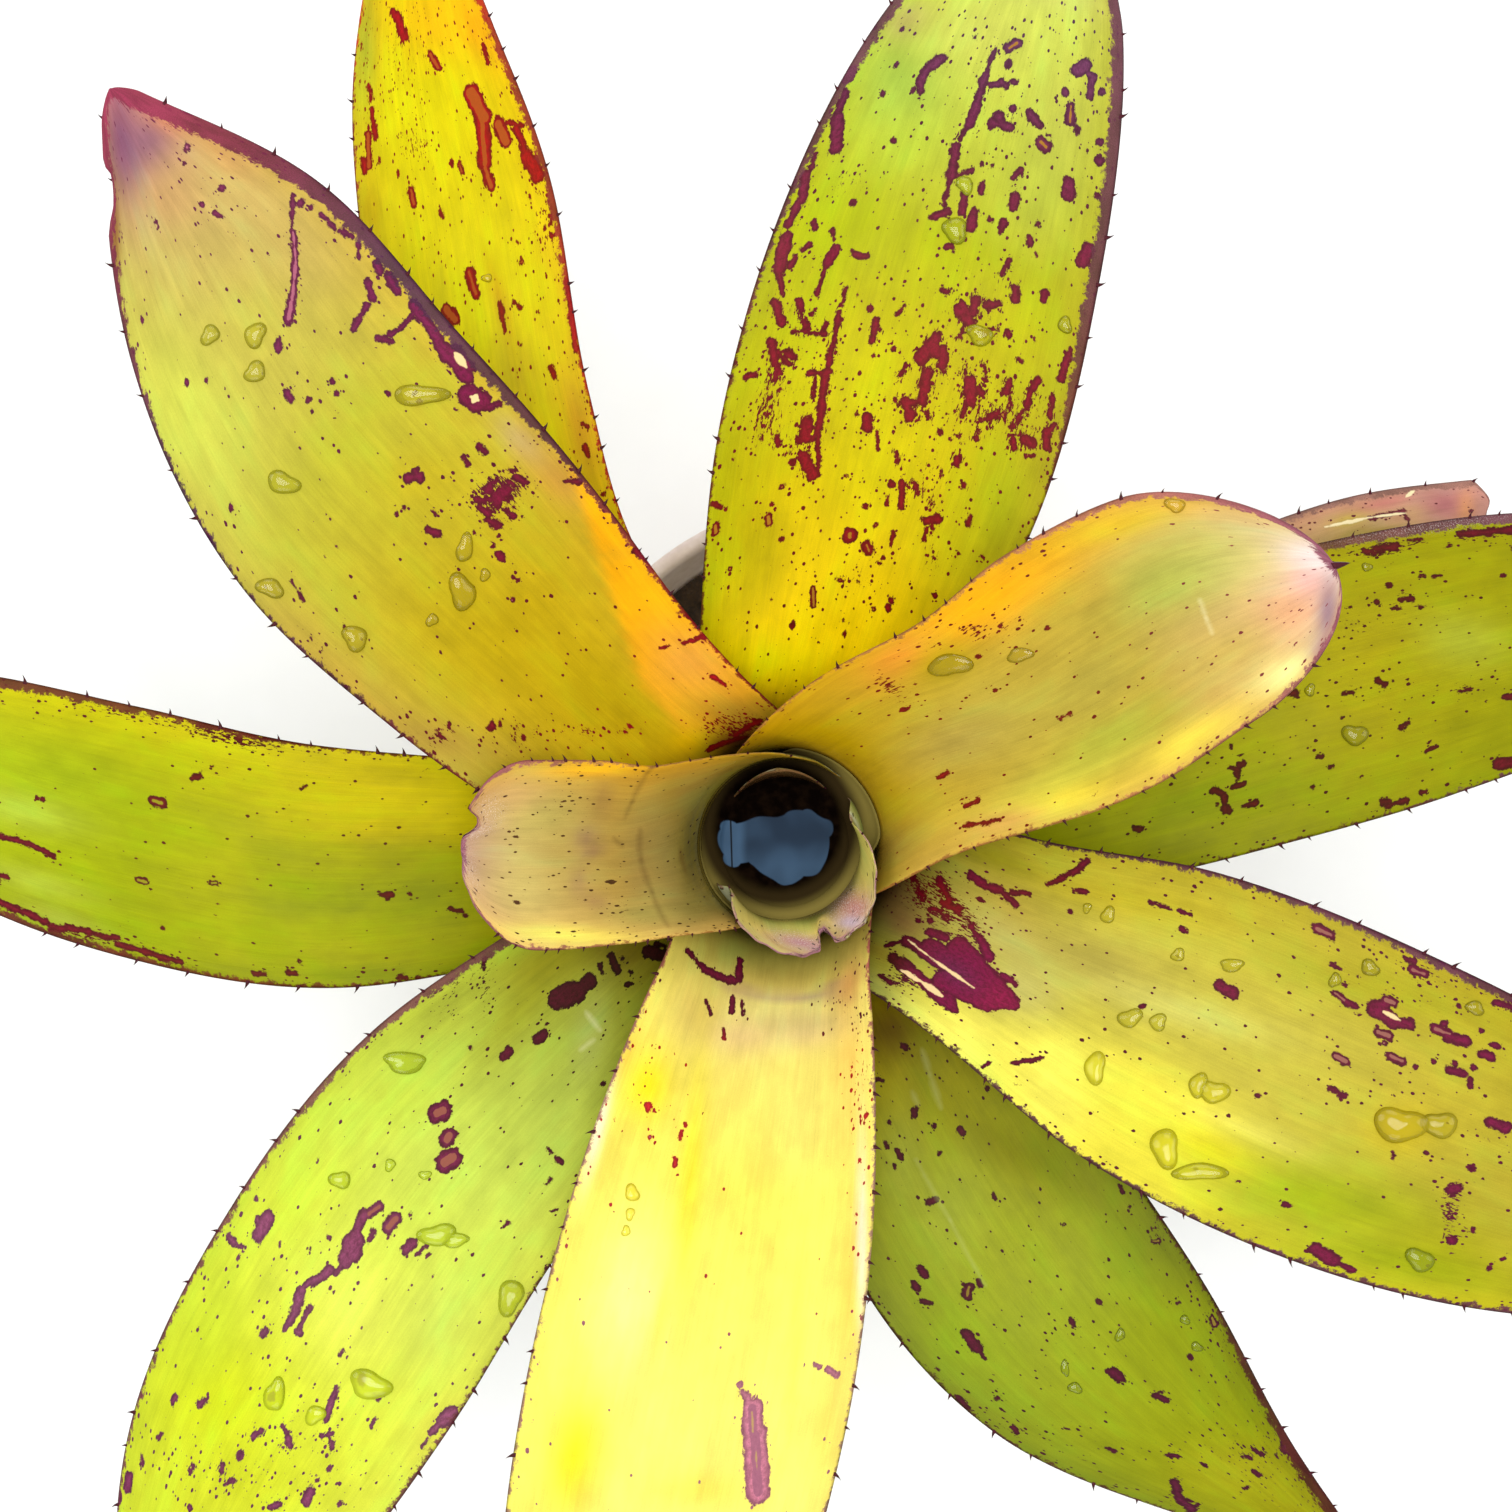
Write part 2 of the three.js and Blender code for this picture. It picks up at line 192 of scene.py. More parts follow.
# The middle surface of a leaf, s along it and v from -1 to 1 across it: each point of the middle line is
# swept along an arc about the plant's axis, and the margins are lifted square to the slope by a parabola.
def bladeSurface(leaf, line, s, v):
    s, v = np.broadcast_arrays(np.asarray(s, float), np.asarray(v, float))
    half = halfWidth(leaf, line, s)
    u = np.clip((s - line["start"]) / leaf["length"], 0, 1)
    along = s.copy()
    beyond = s - line["total"]
    if "notch" in leaf:
        place, width, depth = leaf["notch"]
        along = along - depth * np.exp(-((v * half - place) / width) ** 4) * smooth((beyond + 16) / 16)
    for size, waves, phase in leaf.get("fray", []):  # sines across the leaf that grow towards the tip
        along = along - size * (1 + np.sin(waves * v * half / 30 + phase)) * smooth((beyond + 9) / 9)
    out = np.interp(along, line["s"], line["out"])
    up = np.interp(along, line["s"], line["up"])
    slope = slopeAt(leaf, line, along)
    low, high = leaf["cup"]
    lift = (low + (high - low) * u) * smooth(2.5 * u) * (v * half / blade["wide"]) ** 2
    for size, length, first, last in leaf.get("ripples", []):
        lift = lift + size * np.sin(2 * math.pi * (s - first) / length) * np.exp(-v * v) * smooth(
            (s - first) / length) * smooth((last - s) / length)
    inward = 0.0
    for place, side, width, depth in leaf.get("bites", []):  # a piece missing from a margin
        gone = depth * np.exp(-((u - place) * leaf["length"] / width) ** 4)
        inward = inward + side * gone * np.clip(v * side, 0, 1) ** 4
    turn = np.radians(curveThrough(leaf["turn"], u)) + (half * v - inward) / out
    reach = out - lift * np.sin(slope)
    return np.stack([plant["x"] + reach * np.cos(turn), plant["y"] + reach * np.sin(turn),
                     up + lift * np.cos(slope)], axis=-1)


def unit(vectors):
    return vectors / np.maximum(1e-9, np.linalg.norm(vectors, axis=-1, keepdims=True))


# The three directions at a place on a leaf: towards the tip, towards the margin v = 1, and up off its face.
def bladeAxes(leaf, line, s, v):
    tipward = bladeSurface(leaf, line, np.minimum(s + 0.3, line["total"]), v)
    tipward = tipward - bladeSurface(leaf, line, np.maximum(s - 0.3, 0), v)
    v = np.asarray(v)
    across = bladeSurface(leaf, line, s, v + 0.01) - bladeSurface(leaf, line, s, v - 0.01)
    tipward, across = unit(tipward), unit(across)
    return tipward, across, unit(np.cross(tipward, across))


def halfThickness(v):
    body = blade["edge"] + (blade["middle"] - blade["edge"]) * (1 - v ** 2)
    return 0.5 * body * np.sqrt(np.clip(1 - np.abs(v) ** 40, 0, 1))


def rowPlaces(leaf, line):  # rows along a leaf: coarse in the sheath, even in the blade, close at the tip
    blunt = line["total"] - leaf["cap"]
    sheath = np.linspace(0, line["start"], 22, endpoint=False)
    count = max(12, int((blunt - line["start"]) / blade["rowStep"]))
    middle = np.linspace(line["start"], blunt, count, endpoint=False)
    tip = blunt + leaf["cap"] * np.sin(np.linspace(0, math.pi / 2, 26))
    return np.concatenate([sheath, middle, tip])


# ---- leaf looks

# well is the colour of the painted shade deep in the well round the stem; the other tones are the leaf's own
# colours.
tones = {"well": "#2c1b0c", "under": "#8f9a52", "underBands": "#c9cbae", "scurf": "#e8dcd4",
         "spine": "#4a1626", "spineEnd": "#2a0d16", "core": "#d9b27c", "slit": "#f0d4b4", "pale": "#ece6b4"}
far, offBlade = 9.0, -400.0  # a distance in mm that nothing shows at, and a place beside every blade

# Places are in the camera's view. hues run along the leaf, sides tint the two margins (v = -1, then 1), and
# rim gives each margin's band in mm at even steps to the tip. A patch is x, y, two radii, an angle, a colour
# and a share. A painted light-and-shade line holds two ends, its softness, reach, colour and share, and tints
# what lies to its right: a lit band on leaves 6 and 7 and painted shade on leaf 11. well gives the distances
# from the axis where the painted shade in the well is full and where it ends, and wellShare its strength.
# Marks are dots (x, y, radius), rings (with a core's radius) and strokes (two ends, half width, core). Soft
# marks, slits and pale lines are strokes too.
leafLooks = [
    {"hues": [(0, "#140c05"), (0.3, "#2a1a0c"), (0.6, "#452c15"), (1, "#5a4022")],
     "sides": ("#3a2812", "#3a2812"), "rim": ([0.3, 0.5], [0.3, 0.5]),
     "rimHues": [(0, "#3a200e"), (1, "#6a4a2c")], "well": (12, 15), "wellShare": 0.5,
     "markHues": [(0, "#2a1a10"), (1, "#2a1a10")], "spine": (0.9, 5)},
    {"hues": [(0, "#251e0e"), (0.3, "#696725"), (0.6, "#c7ae56"), (0.85, "#b59e5c"), (1, "#a87d68")],
     "sides": ("#c1ad5c", "#cbc55e"), "rim": ([0.3, 0.6, 1.4], [0.2, 0.5, 0.9]),
     "rimHues": [(0, "#95765d"), (0.6, "#9a7669"), (1, "#8f5d6b")], "well": (15.5, 20.5), "wellShare": 0.6,
     "fleck": 0.1,
     "scurfZones": [(855, 912, 26, 18, 0, 0.75), (800, 940, 30, 8, 10, 0.7), (845, 888, 14, 14, 0, 0.25)],
     "patches": [(855, 908, 20, 16, -30, "#b16175", 0.75), (800, 942, 30, 8, 12, "#a65f7f", 0.75),
     (790, 925, 24, 8, 8, "#c5bc5a", 0.6), (862, 868, 9, 22, 0, "#b8a650", 0.6),
     (850, 922, 14, 7, 0, "#b9a4bc", 0.7)],
     "markHues": [(0, "#201009"), (1, "#2d1c18")], "spine": (1.1, 4)},
    {"hues": [(0, "#564212"), (0.12, "#6d6220"), (0.3, "#7d6b33"), (0.5, "#9a7b35"), (0.8, "#b29a54"),
     (1, "#a9806d")], "sides": ("#bd870b", "#e0b15c"),
     "rim": ([0.3, 0.3, 0.5, 0.9, 2], [0.2, 0.3, 0.4, 0.7, 1.7]),
     "rimHues": [(0, "#7a5714"), (0.5, "#9d6d36"), (0.8, "#91514d"), (1, "#804256")], "well": (13, 27),
     "fleck": 0.09,
     "fleckZones": [(570, 800, 22, 18, 0, 0.4), (620, 905, 24, 18, 30, 0.5)],
     "scurfZones": [(490, 810, 14, 14, 0, 0.6), (468, 870, 9, 30, -8, 0.55), (478, 832, 14, 5, -20, 0.9)],
     "patches": [(585, 838, 12, 12, 0, "#7c544c", 0.55), (592, 852, 12, 6, -20, "#774d43", 0.5),
     (578, 882, 8, 14, 0, "#855d4c", 0.45), (596, 902, 14, 8, 20, "#8b5d47", 0.45),
     (602, 800, 9, 18, 10, "#855d32", 0.5), (672, 800, 12, 30, 0, "#856417", 0.4),
     (600, 768, 55, 8, -4, "#e7a710", 0.85), (570, 935, 70, 9, 4, "#e0cf4e", 0.7),
     (520, 890, 34, 26, 20, "#bea95e", 0.6), (520, 800, 26, 20, -25, "#bc8f5a", 0.6),
     (560, 850, 20, 34, 0, "#a1873e", 0.4), (640, 860, 12, 45, 0, "#7e6230", 0.35),
     # Painted shade: the dark olive patches at 690, 855 and 702, 908 beside the well.
     (690, 855, 10, 50, 0, "#474017", 0.5), (702, 908, 44, 24, -10, "#605a26", 0.65),
     (640, 915, 40, 14, 0, "#8b8a40", 0.5), (540, 815, 40, 20, -10, "#a8a14c", 0.4)],
     "markHues": [(0, "#201105"), (0.5, "#472810"), (1, "#54281b")], "spine": (1.3, 5),
     "softMarks": [(666, 750, 648, 772, 1.6), (648, 772, 632, 802, 1.6), (632, 802, 625, 818, 1.2),
     (640, 830, 641, 860, 2.2), (641, 860, 652, 892, 2.2), (652, 892, 668, 926, 1.8), (680, 850, 686, 872, 3),
     (614, 838, 622, 846, 1.4)]},
    {"hues": [(0, "#a67e12"), (0.15, "#aa8a00"), (0.4, "#b59c32"), (0.65, "#ac8b2d"), (0.85, "#c8a468"),
     (1, "#dab7ab")], "sides": ("#c8a145", "#c99309"),
     "rim": ([0.5, 0.6, 0.7, 0.8, 1.4], [0.6, 0.7, 0.8, 1.6, 3.2]),
     "rimHues": [(0, "#8c5a24"), (0.5, "#a8703c"), (0.8, "#9a5a50"), (1, "#7c3c54")], "fleck": 0.04,
     "patches": [(985, 602, 100, 30, -28, "#f0a202", 0.9), (1120, 525, 70, 16, -18, "#d3ad00", 0.7),
     (900, 655, 40, 20, -32, "#da7c2b", 0.6), (1160, 575, 60, 34, -20, "#a79236", 0.8),
     (1110, 740, 70, 26, -25, "#9e9f2f", 0.8), (945, 662, 30, 18, -20, "#a59000", 0.8),
     (960, 740, 70, 34, -20, "#9e8945", 0.6), (1060, 800, 60, 16, -18, "#e6cc35", 0.8),
     (1190, 740, 60, 14, -30, "#ecd243", 0.8), (1285, 672, 30, 14, -32, "#f0db88", 0.9),
     (1240, 560, 60, 22, -10, "#e2c580", 0.7), (1312, 556, 34, 16, 10, "#f0d9d6", 0.95),
     (1290, 612, 34, 26, 0, "#da986e", 0.75), (1306, 580, 18, 16, 0, "#e29897", 0.6),
     (1328, 612, 12, 36, 4, "#865f72", 0.85), (1322, 650, 16, 12, -40, "#9e7380", 0.7),
     (1305, 522, 26, 11, 38, "#967182", 0.8), (1255, 492, 34, 8, 14, "#8d3947", 0.5),
     (1100, 590, 26, 22, 0, "#c48b2a", 0.5), (1060, 640, 40, 22, -20, "#b89a34", 0.5),
     # Painted shade: the brown patch at 890, 850 by the well.
     (1230, 650, 46, 22, -25, "#b29a3c", 0.5), (890, 850, 40, 26, -30, "#836c33", 0.6),
     (1010, 820, 40, 12, -14, "#c37c52", 0.5), (1180, 575, 100, 40, -20, "#9ba33e", 0.75),
     (1100, 680, 90, 40, -25, "#a39c40", 0.5), (1060, 780, 80, 16, -20, "#b9b83c", 0.5)],
     "fleckZones": [(972, 632, 22, 10, 15, 0.9), (1012, 625, 22, 20, 30, 0.6), (935, 645, 18, 8, 20, 0.7),
     (890, 688, 26, 12, 35, 0.9), (1292, 612, 34, 24, 0, 0.25), (965, 800, 26, 14, 0, 0.3)],
     "markHues": [(0, "#71040c"), (0.3, "#73100c"), (0.6, "#6c1914"), (1, "#853642")], "spine": (1.35, 8.5),
     "point": 4.6,
     "marks": [(996, 690, 2.5), (1060, 719, 1069, 714, 2.4), (938, 778, 948, 772, 2.6),
     (965, 806, 978, 800, 2.4), (964, 826, 1000, 820, 2.2), (1048, 628, 2.4)],
     "pale": [(1200, 600, 1206, 618, 0.5), (1206, 618, 1212, 633, 0.6)]},
    {"hues": [(0, "#9d8730"), (0.1, "#a3893c"), (0.17, "#d5c05f"), (0.35, "#e9d550"), (0.7, "#e8da69"),
     (1, "#e4d13b")], "sides": ("#e6d557", "#e6d062"),
     "rim": ([0.5, 0.7, 0.5, 0.5, 0.5], [0.7, 0.7, 0.4, 0.4, 0.5]),
     "rimHues": [(0, "#794033"), (0.12, "#974b45"), (0.3, "#a47767"), (0.6, "#98705d"), (1, "#8b6458")],
     "vein": 0.24, "fleck": 0.006,
     # Painted shade: the olive patches at 790, 955 and 740, 952 darken the throat where other leaves lie over
     # it.
     "patches": [(790, 955, 85, 26, 0, "#9a9040", 0.7), (740, 952, 50, 16, 0, "#95903e", 0.6),
     (790, 998, 50, 5, 0, "#835a58", 0.85), (742, 990, 24, 5, 14, "#835a58", 0.7),
     (832, 988, 16, 5, -24, "#835a58", 0.7), (740, 1034, 40, 20, 0, "#d9a988", 0.45),
     (805, 1030, 30, 18, 0, "#c99a80", 0.5), (760, 1010, 60, 16, 0, "#dacd72", 0.6),
     (700, 1006, 30, 30, 0, "#b89848", 0.7), (800, 1022, 60, 14, 0, "#b59e60", 0.7),
     (648, 1085, 26, 36, 10, "#ecd300", 0.9), (625, 1060, 12, 30, 12, "#e4a735", 0.6),
     (690, 1180, 12, 120, 5, "#e6d50e", 0.7), (850, 1090, 16, 70, 0, "#e29842", 0.5),
     (848, 1290, 14, 70, 3, "#e2b949", 0.8), (825, 1430, 16, 50, 5, "#e2c450", 0.7),
     (795, 1350, 7, 90, 4, "#e2c845", 0.6), (575, 1455, 30, 70, 12, "#e4cf00", 0.9),
     # Painted sheen: the pale patch at 630, 1300 and the white streak at 598, 1130.
     (630, 1300, 36, 80, 5, "#f0e58a", 0.7), (800, 1120, 34, 60, 0, "#ecda6a", 0.6),
     (655, 1330, 5, 60, 14, "#d8c83a", 0.7), (700, 1490, 50, 20, 0, "#dac833", 0.5),
     (850, 985, 12, 26, 15, "#b5603a", 0.5), (598, 1130, 7, 50, 14, "#f0dcc7", 0.7),
     (862, 1240, 5, 90, 0, "#f0decb", 0.7)],
     "fleckZones": [(754, 1398, 16, 12, 0, 0.5), (858, 1090, 12, 90, 0, 0.55), (655, 1060, 26, 24, 0, 0.3),
     (840, 1000, 16, 26, 0, 0.5), (650, 1105, 30, 8, 0, 0.5)],
     "markHues": [(0, "#47041d"), (0.17, "#500421"), (0.21, "#a51917"), (0.45, "#a1192f"), (0.52, "#975a6a"),
     (1, "#904a60")],
     "marks": [(688, 951, 704, 969, 3.4), (704, 969, 721, 977, 4.6), (721, 977, 738, 981, 4.6),
     (738, 980, 740, 960, 4.2), (706, 1000, 711, 1014, 2), (732, 998, 732, 1012, 3),
     (742, 1002, 743, 1015, 2), (724, 1030, 724, 1039, 1.9), (648, 1107, 4), (655, 1111, 2.2),
     (686, 1125, 2.3), (681, 1131, 680, 1138, 2.2), (675, 1159, 675, 1165, 2.5), (650, 1137, 2.8, 0.7),
     (866, 1116, 2.2), (742, 1392, 751, 1402, 3.2), (752, 1408, 753, 1432, 10, 2.6),
     (755, 1436, 758, 1492, 11.5, 3), (814, 1364, 819, 1367, 2.2), (828, 1369, 836, 1375, 3.4)],
     "core": "#8c5369", "slitColour": "#a98559",
     "slits": [(752, 1412, 753, 1432, 0.9), (756, 1450, 757, 1470, 0.8)]},
    {"hues": [(0, "#c49513"), (0.15, "#c5a20b"), (0.35, "#b39608"), (0.6, "#aea627"), (0.85, "#b49a55"),
     (1, "#bb6f74")], "sides": ("#bd9725", "#ab9a3b"),
     "rim": ([1, 0.8, 1.5, 3.2, 4.2, 5.2], [0.4, 0.5, 0.9, 0.7, 1.6, 2.6]),
     "rimHues": [(0, "#4a0a14"), (0.2, "#860a18"), (0.45, "#48182e"), (0.7, "#451a40"), (0.88, "#6a1c3a"),
     (1, "#8e2c4a")], "fleck": 0.05,
     "patches": [(122, 145, 18, 60, -6, "#70375a", 0.9), (148, 140, 26, 36, 30, "#80506a", 0.8),
     (170, 122, 26, 12, 20, "#cb7c4d", 0.6), (230, 160, 40, 18, 35, "#c38a54", 0.6),
     (175, 200, 34, 26, 0, "#be915b", 0.6), (250, 200, 60, 30, 20, "#bb9e5b", 0.6),
     (290, 250, 60, 40, 20, "#b69a54", 0.5), (185, 410, 60, 110, -24, "#bec145", 0.85),
     (260, 330, 50, 50, 0, "#bcb03e", 0.5), (350, 700, 70, 34, 35, "#b1852f", 0.6),
     (300, 640, 60, 26, 50, "#b49336", 0.5), (440, 740, 60, 18, 14, "#a27d35", 0.6),
     (450, 640, 80, 60, 30, "#b19703", 0.5), (600, 690, 60, 34, 30, "#a68c00", 0.6),
     (560, 480, 34, 20, 45, "#be813a", 0.6), (520, 440, 30, 14, 45, "#b19067", 0.6),
     (640, 730, 60, 18, 12, "#b19307", 0.5), (420, 480, 40, 26, 0, "#bda40a", 0.5),
     (115, 235, 5, 50, -2, "#723319", 0.8)],
     # Painted light: orange light shining through the folded blade, to the right of these lines, beside a
     # shadow's edge.
     "paintedLightAndShade": [(600, 560, 572, 470, 7, 400, "#eba202", 1), (645, 690, 600, 560, 7, 400, "#eba202", 1),
     (690, 745, 640, 676, 7, 400, "#eba519", 1)],
     # Painted light: the orange and yellow patches here are the glow where light shines through the fold.
     "topPatches": [(668, 560, 30, 22, 50, "#e27c1d", 0.55), (690, 660, 44, 30, 30, "#d6903a", 0.7),
     (735, 712, 44, 20, 10, "#b18124", 0.85), (690, 742, 18, 14, 0, "#e1b000", 0.8),
     (738, 740, 26, 9, -10, "#70110e", 0.9)],
     "fleckZones": [(245, 235, 60, 30, 30, 0.25), (320, 392, 34, 16, 10, 0.4), (500, 495, 34, 28, 0, 0.9),
     (735, 725, 44, 16, 0, 0.9), (560, 730, 110, 6, 0, 0.5), (500, 745, 60, 12, 0, 0.3),
     (320, 640, 30, 20, 20, 0.4), (440, 735, 16, 12, 0, 0.5)],
     "markHues": [(0, "#54040c"), (0.12, "#9a0414"), (0.3, "#650417"), (0.5, "#5a042a"), (0.7, "#5d0c3d"),
     (1, "#712c49")],
     "marks": [(293, 196, 292, 232, 2.6), (293, 232, 296, 262, 3.4, 0.6), (296, 262, 292, 300, 4, 0.9),
     (291, 303, 289, 318, 5.6, 1.4), (369, 284, 372, 297, 4.6), (367, 305, 354, 329, 3.4),
     (416, 310, 404, 326, 2.6), (404, 326, 391, 335, 2.6), (378, 338, 392, 342, 3.2),
     (278, 342, 279, 348, 4.2), (288, 394, 290, 398, 4.8), (308, 400, 3), (313, 411, 2.2), (337, 393, 2.6),
     (333, 382, 2.4), (388, 393, 2.3), (415, 393, 2.3), (420, 401, 3), (206, 381, 3), (187, 382, 2.6),
     (187, 147, 3.8, 1.1), (222, 188, 3.3), (185, 163, 2.3), (156, 222, 158, 228, 1.9), (202, 205, 2.4),
     (215, 213, 222, 216, 2.2), (301, 203, 4), (311, 208, 3), (321, 214, 335, 228, 2.6),
     (340, 230, 352, 236, 3), (358, 244, 359, 256, 2.6), (376, 262, 380, 272, 3.6), (388, 276, 398, 290, 4.6),
     (414, 306, 432, 330, 6), (432, 330, 446, 356, 6), (446, 350, 466, 376, 8), (453, 352, 466, 366, 8.5),
     (470, 396, 478, 401, 12), (486, 408, 498, 404, 3.6), (480, 414, 2.6), (480, 446, 485, 452, 3.6),
     (464, 457, 468, 464, 2.6), (486, 492, 497, 478, 4), (497, 500, 508, 488, 7), (476, 499, 492, 500, 4),
     (480, 508, 488, 514, 4.6), (488, 520, 498, 526, 4.4), (505, 510, 513, 516, 3.2),
     (516, 476, 525, 482, 3.4), (508, 470, 515, 472, 2.2), (408, 478, 420, 476, 4.8),
     (415, 471, 420, 480, 4.2), (404, 507, 3), (397, 514, 2.8), (428, 531, 438, 533, 3.8),
     (431, 511, 436, 514, 2), (499, 554, 501, 558, 4.4), (499, 536, 2.4), (474, 533, 2.6),
     (512, 600, 3.2, 0.6), (513, 577, 518, 580, 1.9), (568, 481, 578, 482, 3.4), (492, 725, 4.4),
     (500, 723, 2.8), (517, 726, 2.5), (449, 725, 2.6), (440, 735, 2.4), (588, 732, 2.4), (625, 732, 2.3),
     (514, 738, 2.3), (521, 752, 2.3), (637, 552, 650, 560, 5.2), (690, 616, 702, 626, 4.6),
     (698, 638, 708, 636, 3.6), (684, 643, 692, 641, 3), (661, 648, 668, 646, 2), (714, 677, 724, 684, 3.6),
     (712, 748, 742, 738, 7), (735, 736, 758, 722, 5), (231, 507, 3.4), (292, 582, 304, 601, 1.9),
     (345, 628, 2.6), (207, 545, 222, 572, 7)], "core": "#a95d72", "slitColour": "#e0c48a",
     "slits": [(455, 353, 466, 367, 4.2), (472, 397, 478, 400, 5)]},
    {"hues": [(0, "#5f4d10"), (0.12, "#8f8630"), (0.3, "#bdb03c"), (0.5, "#b3a537"), (0.7, "#a79826"),
     (1, "#968424")], "sides": ("#b6ac11", "#9f8c0c"),
     "rim": ([0.6, 0.9, 1, 1.2, 1.4], [0.7, 0.9, 1.6, 2.3, 2.6]),
     "rimHues": [(0, "#3c0c16"), (0.3, "#4a1c34"), (0.6, "#54223c"), (1, "#5e2a3a")], "fleck": 0.06,
     "patches": [(1090, 962, 90, 34, 14, "#a0903e", 0.8), (1130, 900, 120, 20, 12, "#ad9810", 0.6),
     (1000, 910, 50, 30, 20, "#a78730", 0.5), (900, 905, 34, 30, 20, "#7f5a3a", 0.5),
     (1060, 1100, 50, 18, 38, "#e5d750", 0.9), (930, 1032, 60, 18, 40, "#c4c862", 0.8),
     (875, 985, 30, 12, 45, "#9aa050", 0.7), (884, 884, 30, 20, -30, "#46101e", 0.7),
     (905, 925, 20, 14, 30, "#7a4038", 0.35), (1000, 935, 46, 20, 30, "#b4a85a", 0.6),
     (1000, 860, 50, 12, 20, "#8a8208", 0.7), (1380, 990, 120, 26, 16, "#988c0d", 0.7),
     (1180, 1190, 46, 12, 28, "#c8ba00", 0.7), (1440, 1110, 70, 40, 10, "#b29e29", 0.5),
     (1480, 1200, 60, 50, 0, "#a08e2b", 0.5), (1400, 1130, 34, 24, 0, "#c8ac00", 0.6),
     (880, 960, 26, 20, 40, "#7f6a19", 0.6)],
     # Painted light: a bright pale band to the right of these lines, beside the shaded side of the blade; the
     # pale yellow patches of this leaf are painted sheen.
     "paintedLightAndShade": [(930, 990, 1010, 1022, 26, 230, "#e6da58", 0.95),
     (1010, 1022, 1110, 1050, 26, 260, "#e6da52", 0.95), (1110, 1050, 1240, 1105, 26, 240, "#decf3b", 0.9)],
     "topPatches": [(1330, 1200, 130, 40, 14, "#8f9a00", 0.9), (1180, 1010, 90, 16, 16, "#c3bd62", 0.6),
     (1020, 990, 40, 26, 20, "#bdb56a", 0.55), (1210, 1150, 46, 20, 20, "#cfc103", 0.7),
     (1250, 1130, 60, 10, 22, "#e1d65a", 0.6), (1440, 1250, 60, 26, 8, "#989309", 0.6),
     (1400, 1262, 120, 20, 12, "#8b9604", 0.8)],
     "fleckZones": [(1440, 985, 90, 34, 10, 0.35), (1452, 1215, 14, 26, 0, 0.9), (925, 890, 34, 30, 0, 0.8),
     (966, 922, 26, 20, 40, 0.75), (1370, 1085, 50, 14, 0, 0.3), (1495, 1150, 30, 30, 0, 0.4),
     (905, 980, 18, 12, 0, 0.8)],
     "markPatches": [(945, 900, 50, 22, 30, "#640008", 0.9), (1040, 885, 90, 26, -10, "#5a0412", 0.8),
     (1000, 1000, 22, 18, 0, "#6e0832", 0.7), (955, 972, 26, 12, 35, "#4a1234", 0.7),
     (892, 960, 18, 26, 30, "#300604", 0.85)],
     "markHues": [(0, "#37040c"), (0.1, "#4e0421"), (0.18, "#5d042f"), (0.3, "#540426"), (0.6, "#56042b"),
     (1, "#5d0c34")],
     "marks": [(906, 941, 926, 950, 6.5), (886, 946, 904, 940, 3), (892, 956, 908, 976, 5),
     (930, 950, 985, 984, 13), (958, 948, 1002, 998, 13), (972, 928, 982, 944, 3.4),
     (980, 940, 990, 958, 5.4), (984, 974, 1012, 1004, 8), (1004, 976, 1015, 984, 4),
     (945, 980, 990, 1001, 13), (900, 962, 950, 1005, 7), (950, 996, 954, 1010, 4.5),
     (880, 975, 892, 984, 2.6), (940, 880, 950, 906, 4.6), (942, 902, 960, 910, 4.6),
     (932, 908, 948, 918, 3.4), (960, 914, 968, 922, 2.4), (930, 932, 946, 938, 5), (914, 876, 922, 900, 2.6),
     (906, 866, 912, 880, 2), (918, 920, 2.8), (930, 921, 3.6), (972, 876, 986, 886, 5.8),
     (986, 886, 1000, 890, 5), (1000, 890, 1016, 905, 3.6), (1012, 893, 1030, 893, 2.8),
     (1046, 885, 1072, 874, 2.6), (1072, 874, 1088, 860, 3.4), (1073, 890, 1086, 892, 2.4),
     (1150, 903, 1172, 910, 2.2), (1178, 911, 1190, 914, 2.2), (1181, 929, 1187, 932, 2.3),
     (1220, 986, 1233, 993, 6.4), (1143, 1006, 3.2), (1014, 1063, 1040, 1058, 3), (984, 1066, 989, 1063, 2.4),
     (1317, 929, 1331, 935, 5.4, 1.1), (1331, 965, 1340, 969, 2.4), (1345, 985, 2.4),
     (1335, 993, 1344, 1000, 3.6, 0.7), (1344, 1000, 1356, 1007, 3.8), (1373, 1004, 1386, 1004, 5),
     (1374, 1008, 1392, 1020, 8), (1392, 1020, 1410, 1025, 5.6), (1386, 1000, 1394, 1003, 4.4, 1.1),
     (1378, 1032, 1389, 1036, 4.8, 1.3), (1384, 1043, 3, 0.6), (1335, 1056, 1346, 1061, 4.2, 1.1),
     (1391, 1056, 1402, 1061, 4.8, 1.1), (1436, 1029, 1450, 1034, 5.4, 1), (1448, 1036, 1466, 1042, 5.6),
     (1444, 1024, 3.4), (1413, 970, 1424, 974, 4.8, 0.8), (1406, 959, 1414, 961, 3), (1459, 1006, 2.4),
     (1481, 1031, 2.5), (1492, 1044, 1498, 1046, 3), (1481, 1054, 1492, 1057, 4.2),
     (1450, 1070, 1464, 1074, 4.2), (1455, 1063, 3.2), (1473, 1068, 2.8), (1470, 1080, 1471, 1086, 2.9),
     (1433, 1062, 3), (1416, 1067, 2.3), (1330, 1089, 1345, 1095, 3.6), (1257, 1095, 2.8),
     (1490, 1122, 1506, 1128, 5.6), (1451, 1190, 1456, 1188, 6), (1452, 1241, 5), (1450, 1210, 1450, 1215, 2),
     (1473, 1230, 2.6), (1490, 1268, 3), (1503, 1259, 2.3), (1286, 1204, 1290, 1206, 2.9),
     (1316, 1249, 1334, 1261, 6.6), (1334, 1261, 1352, 1270, 3.6), (1427, 1153, 2.3),
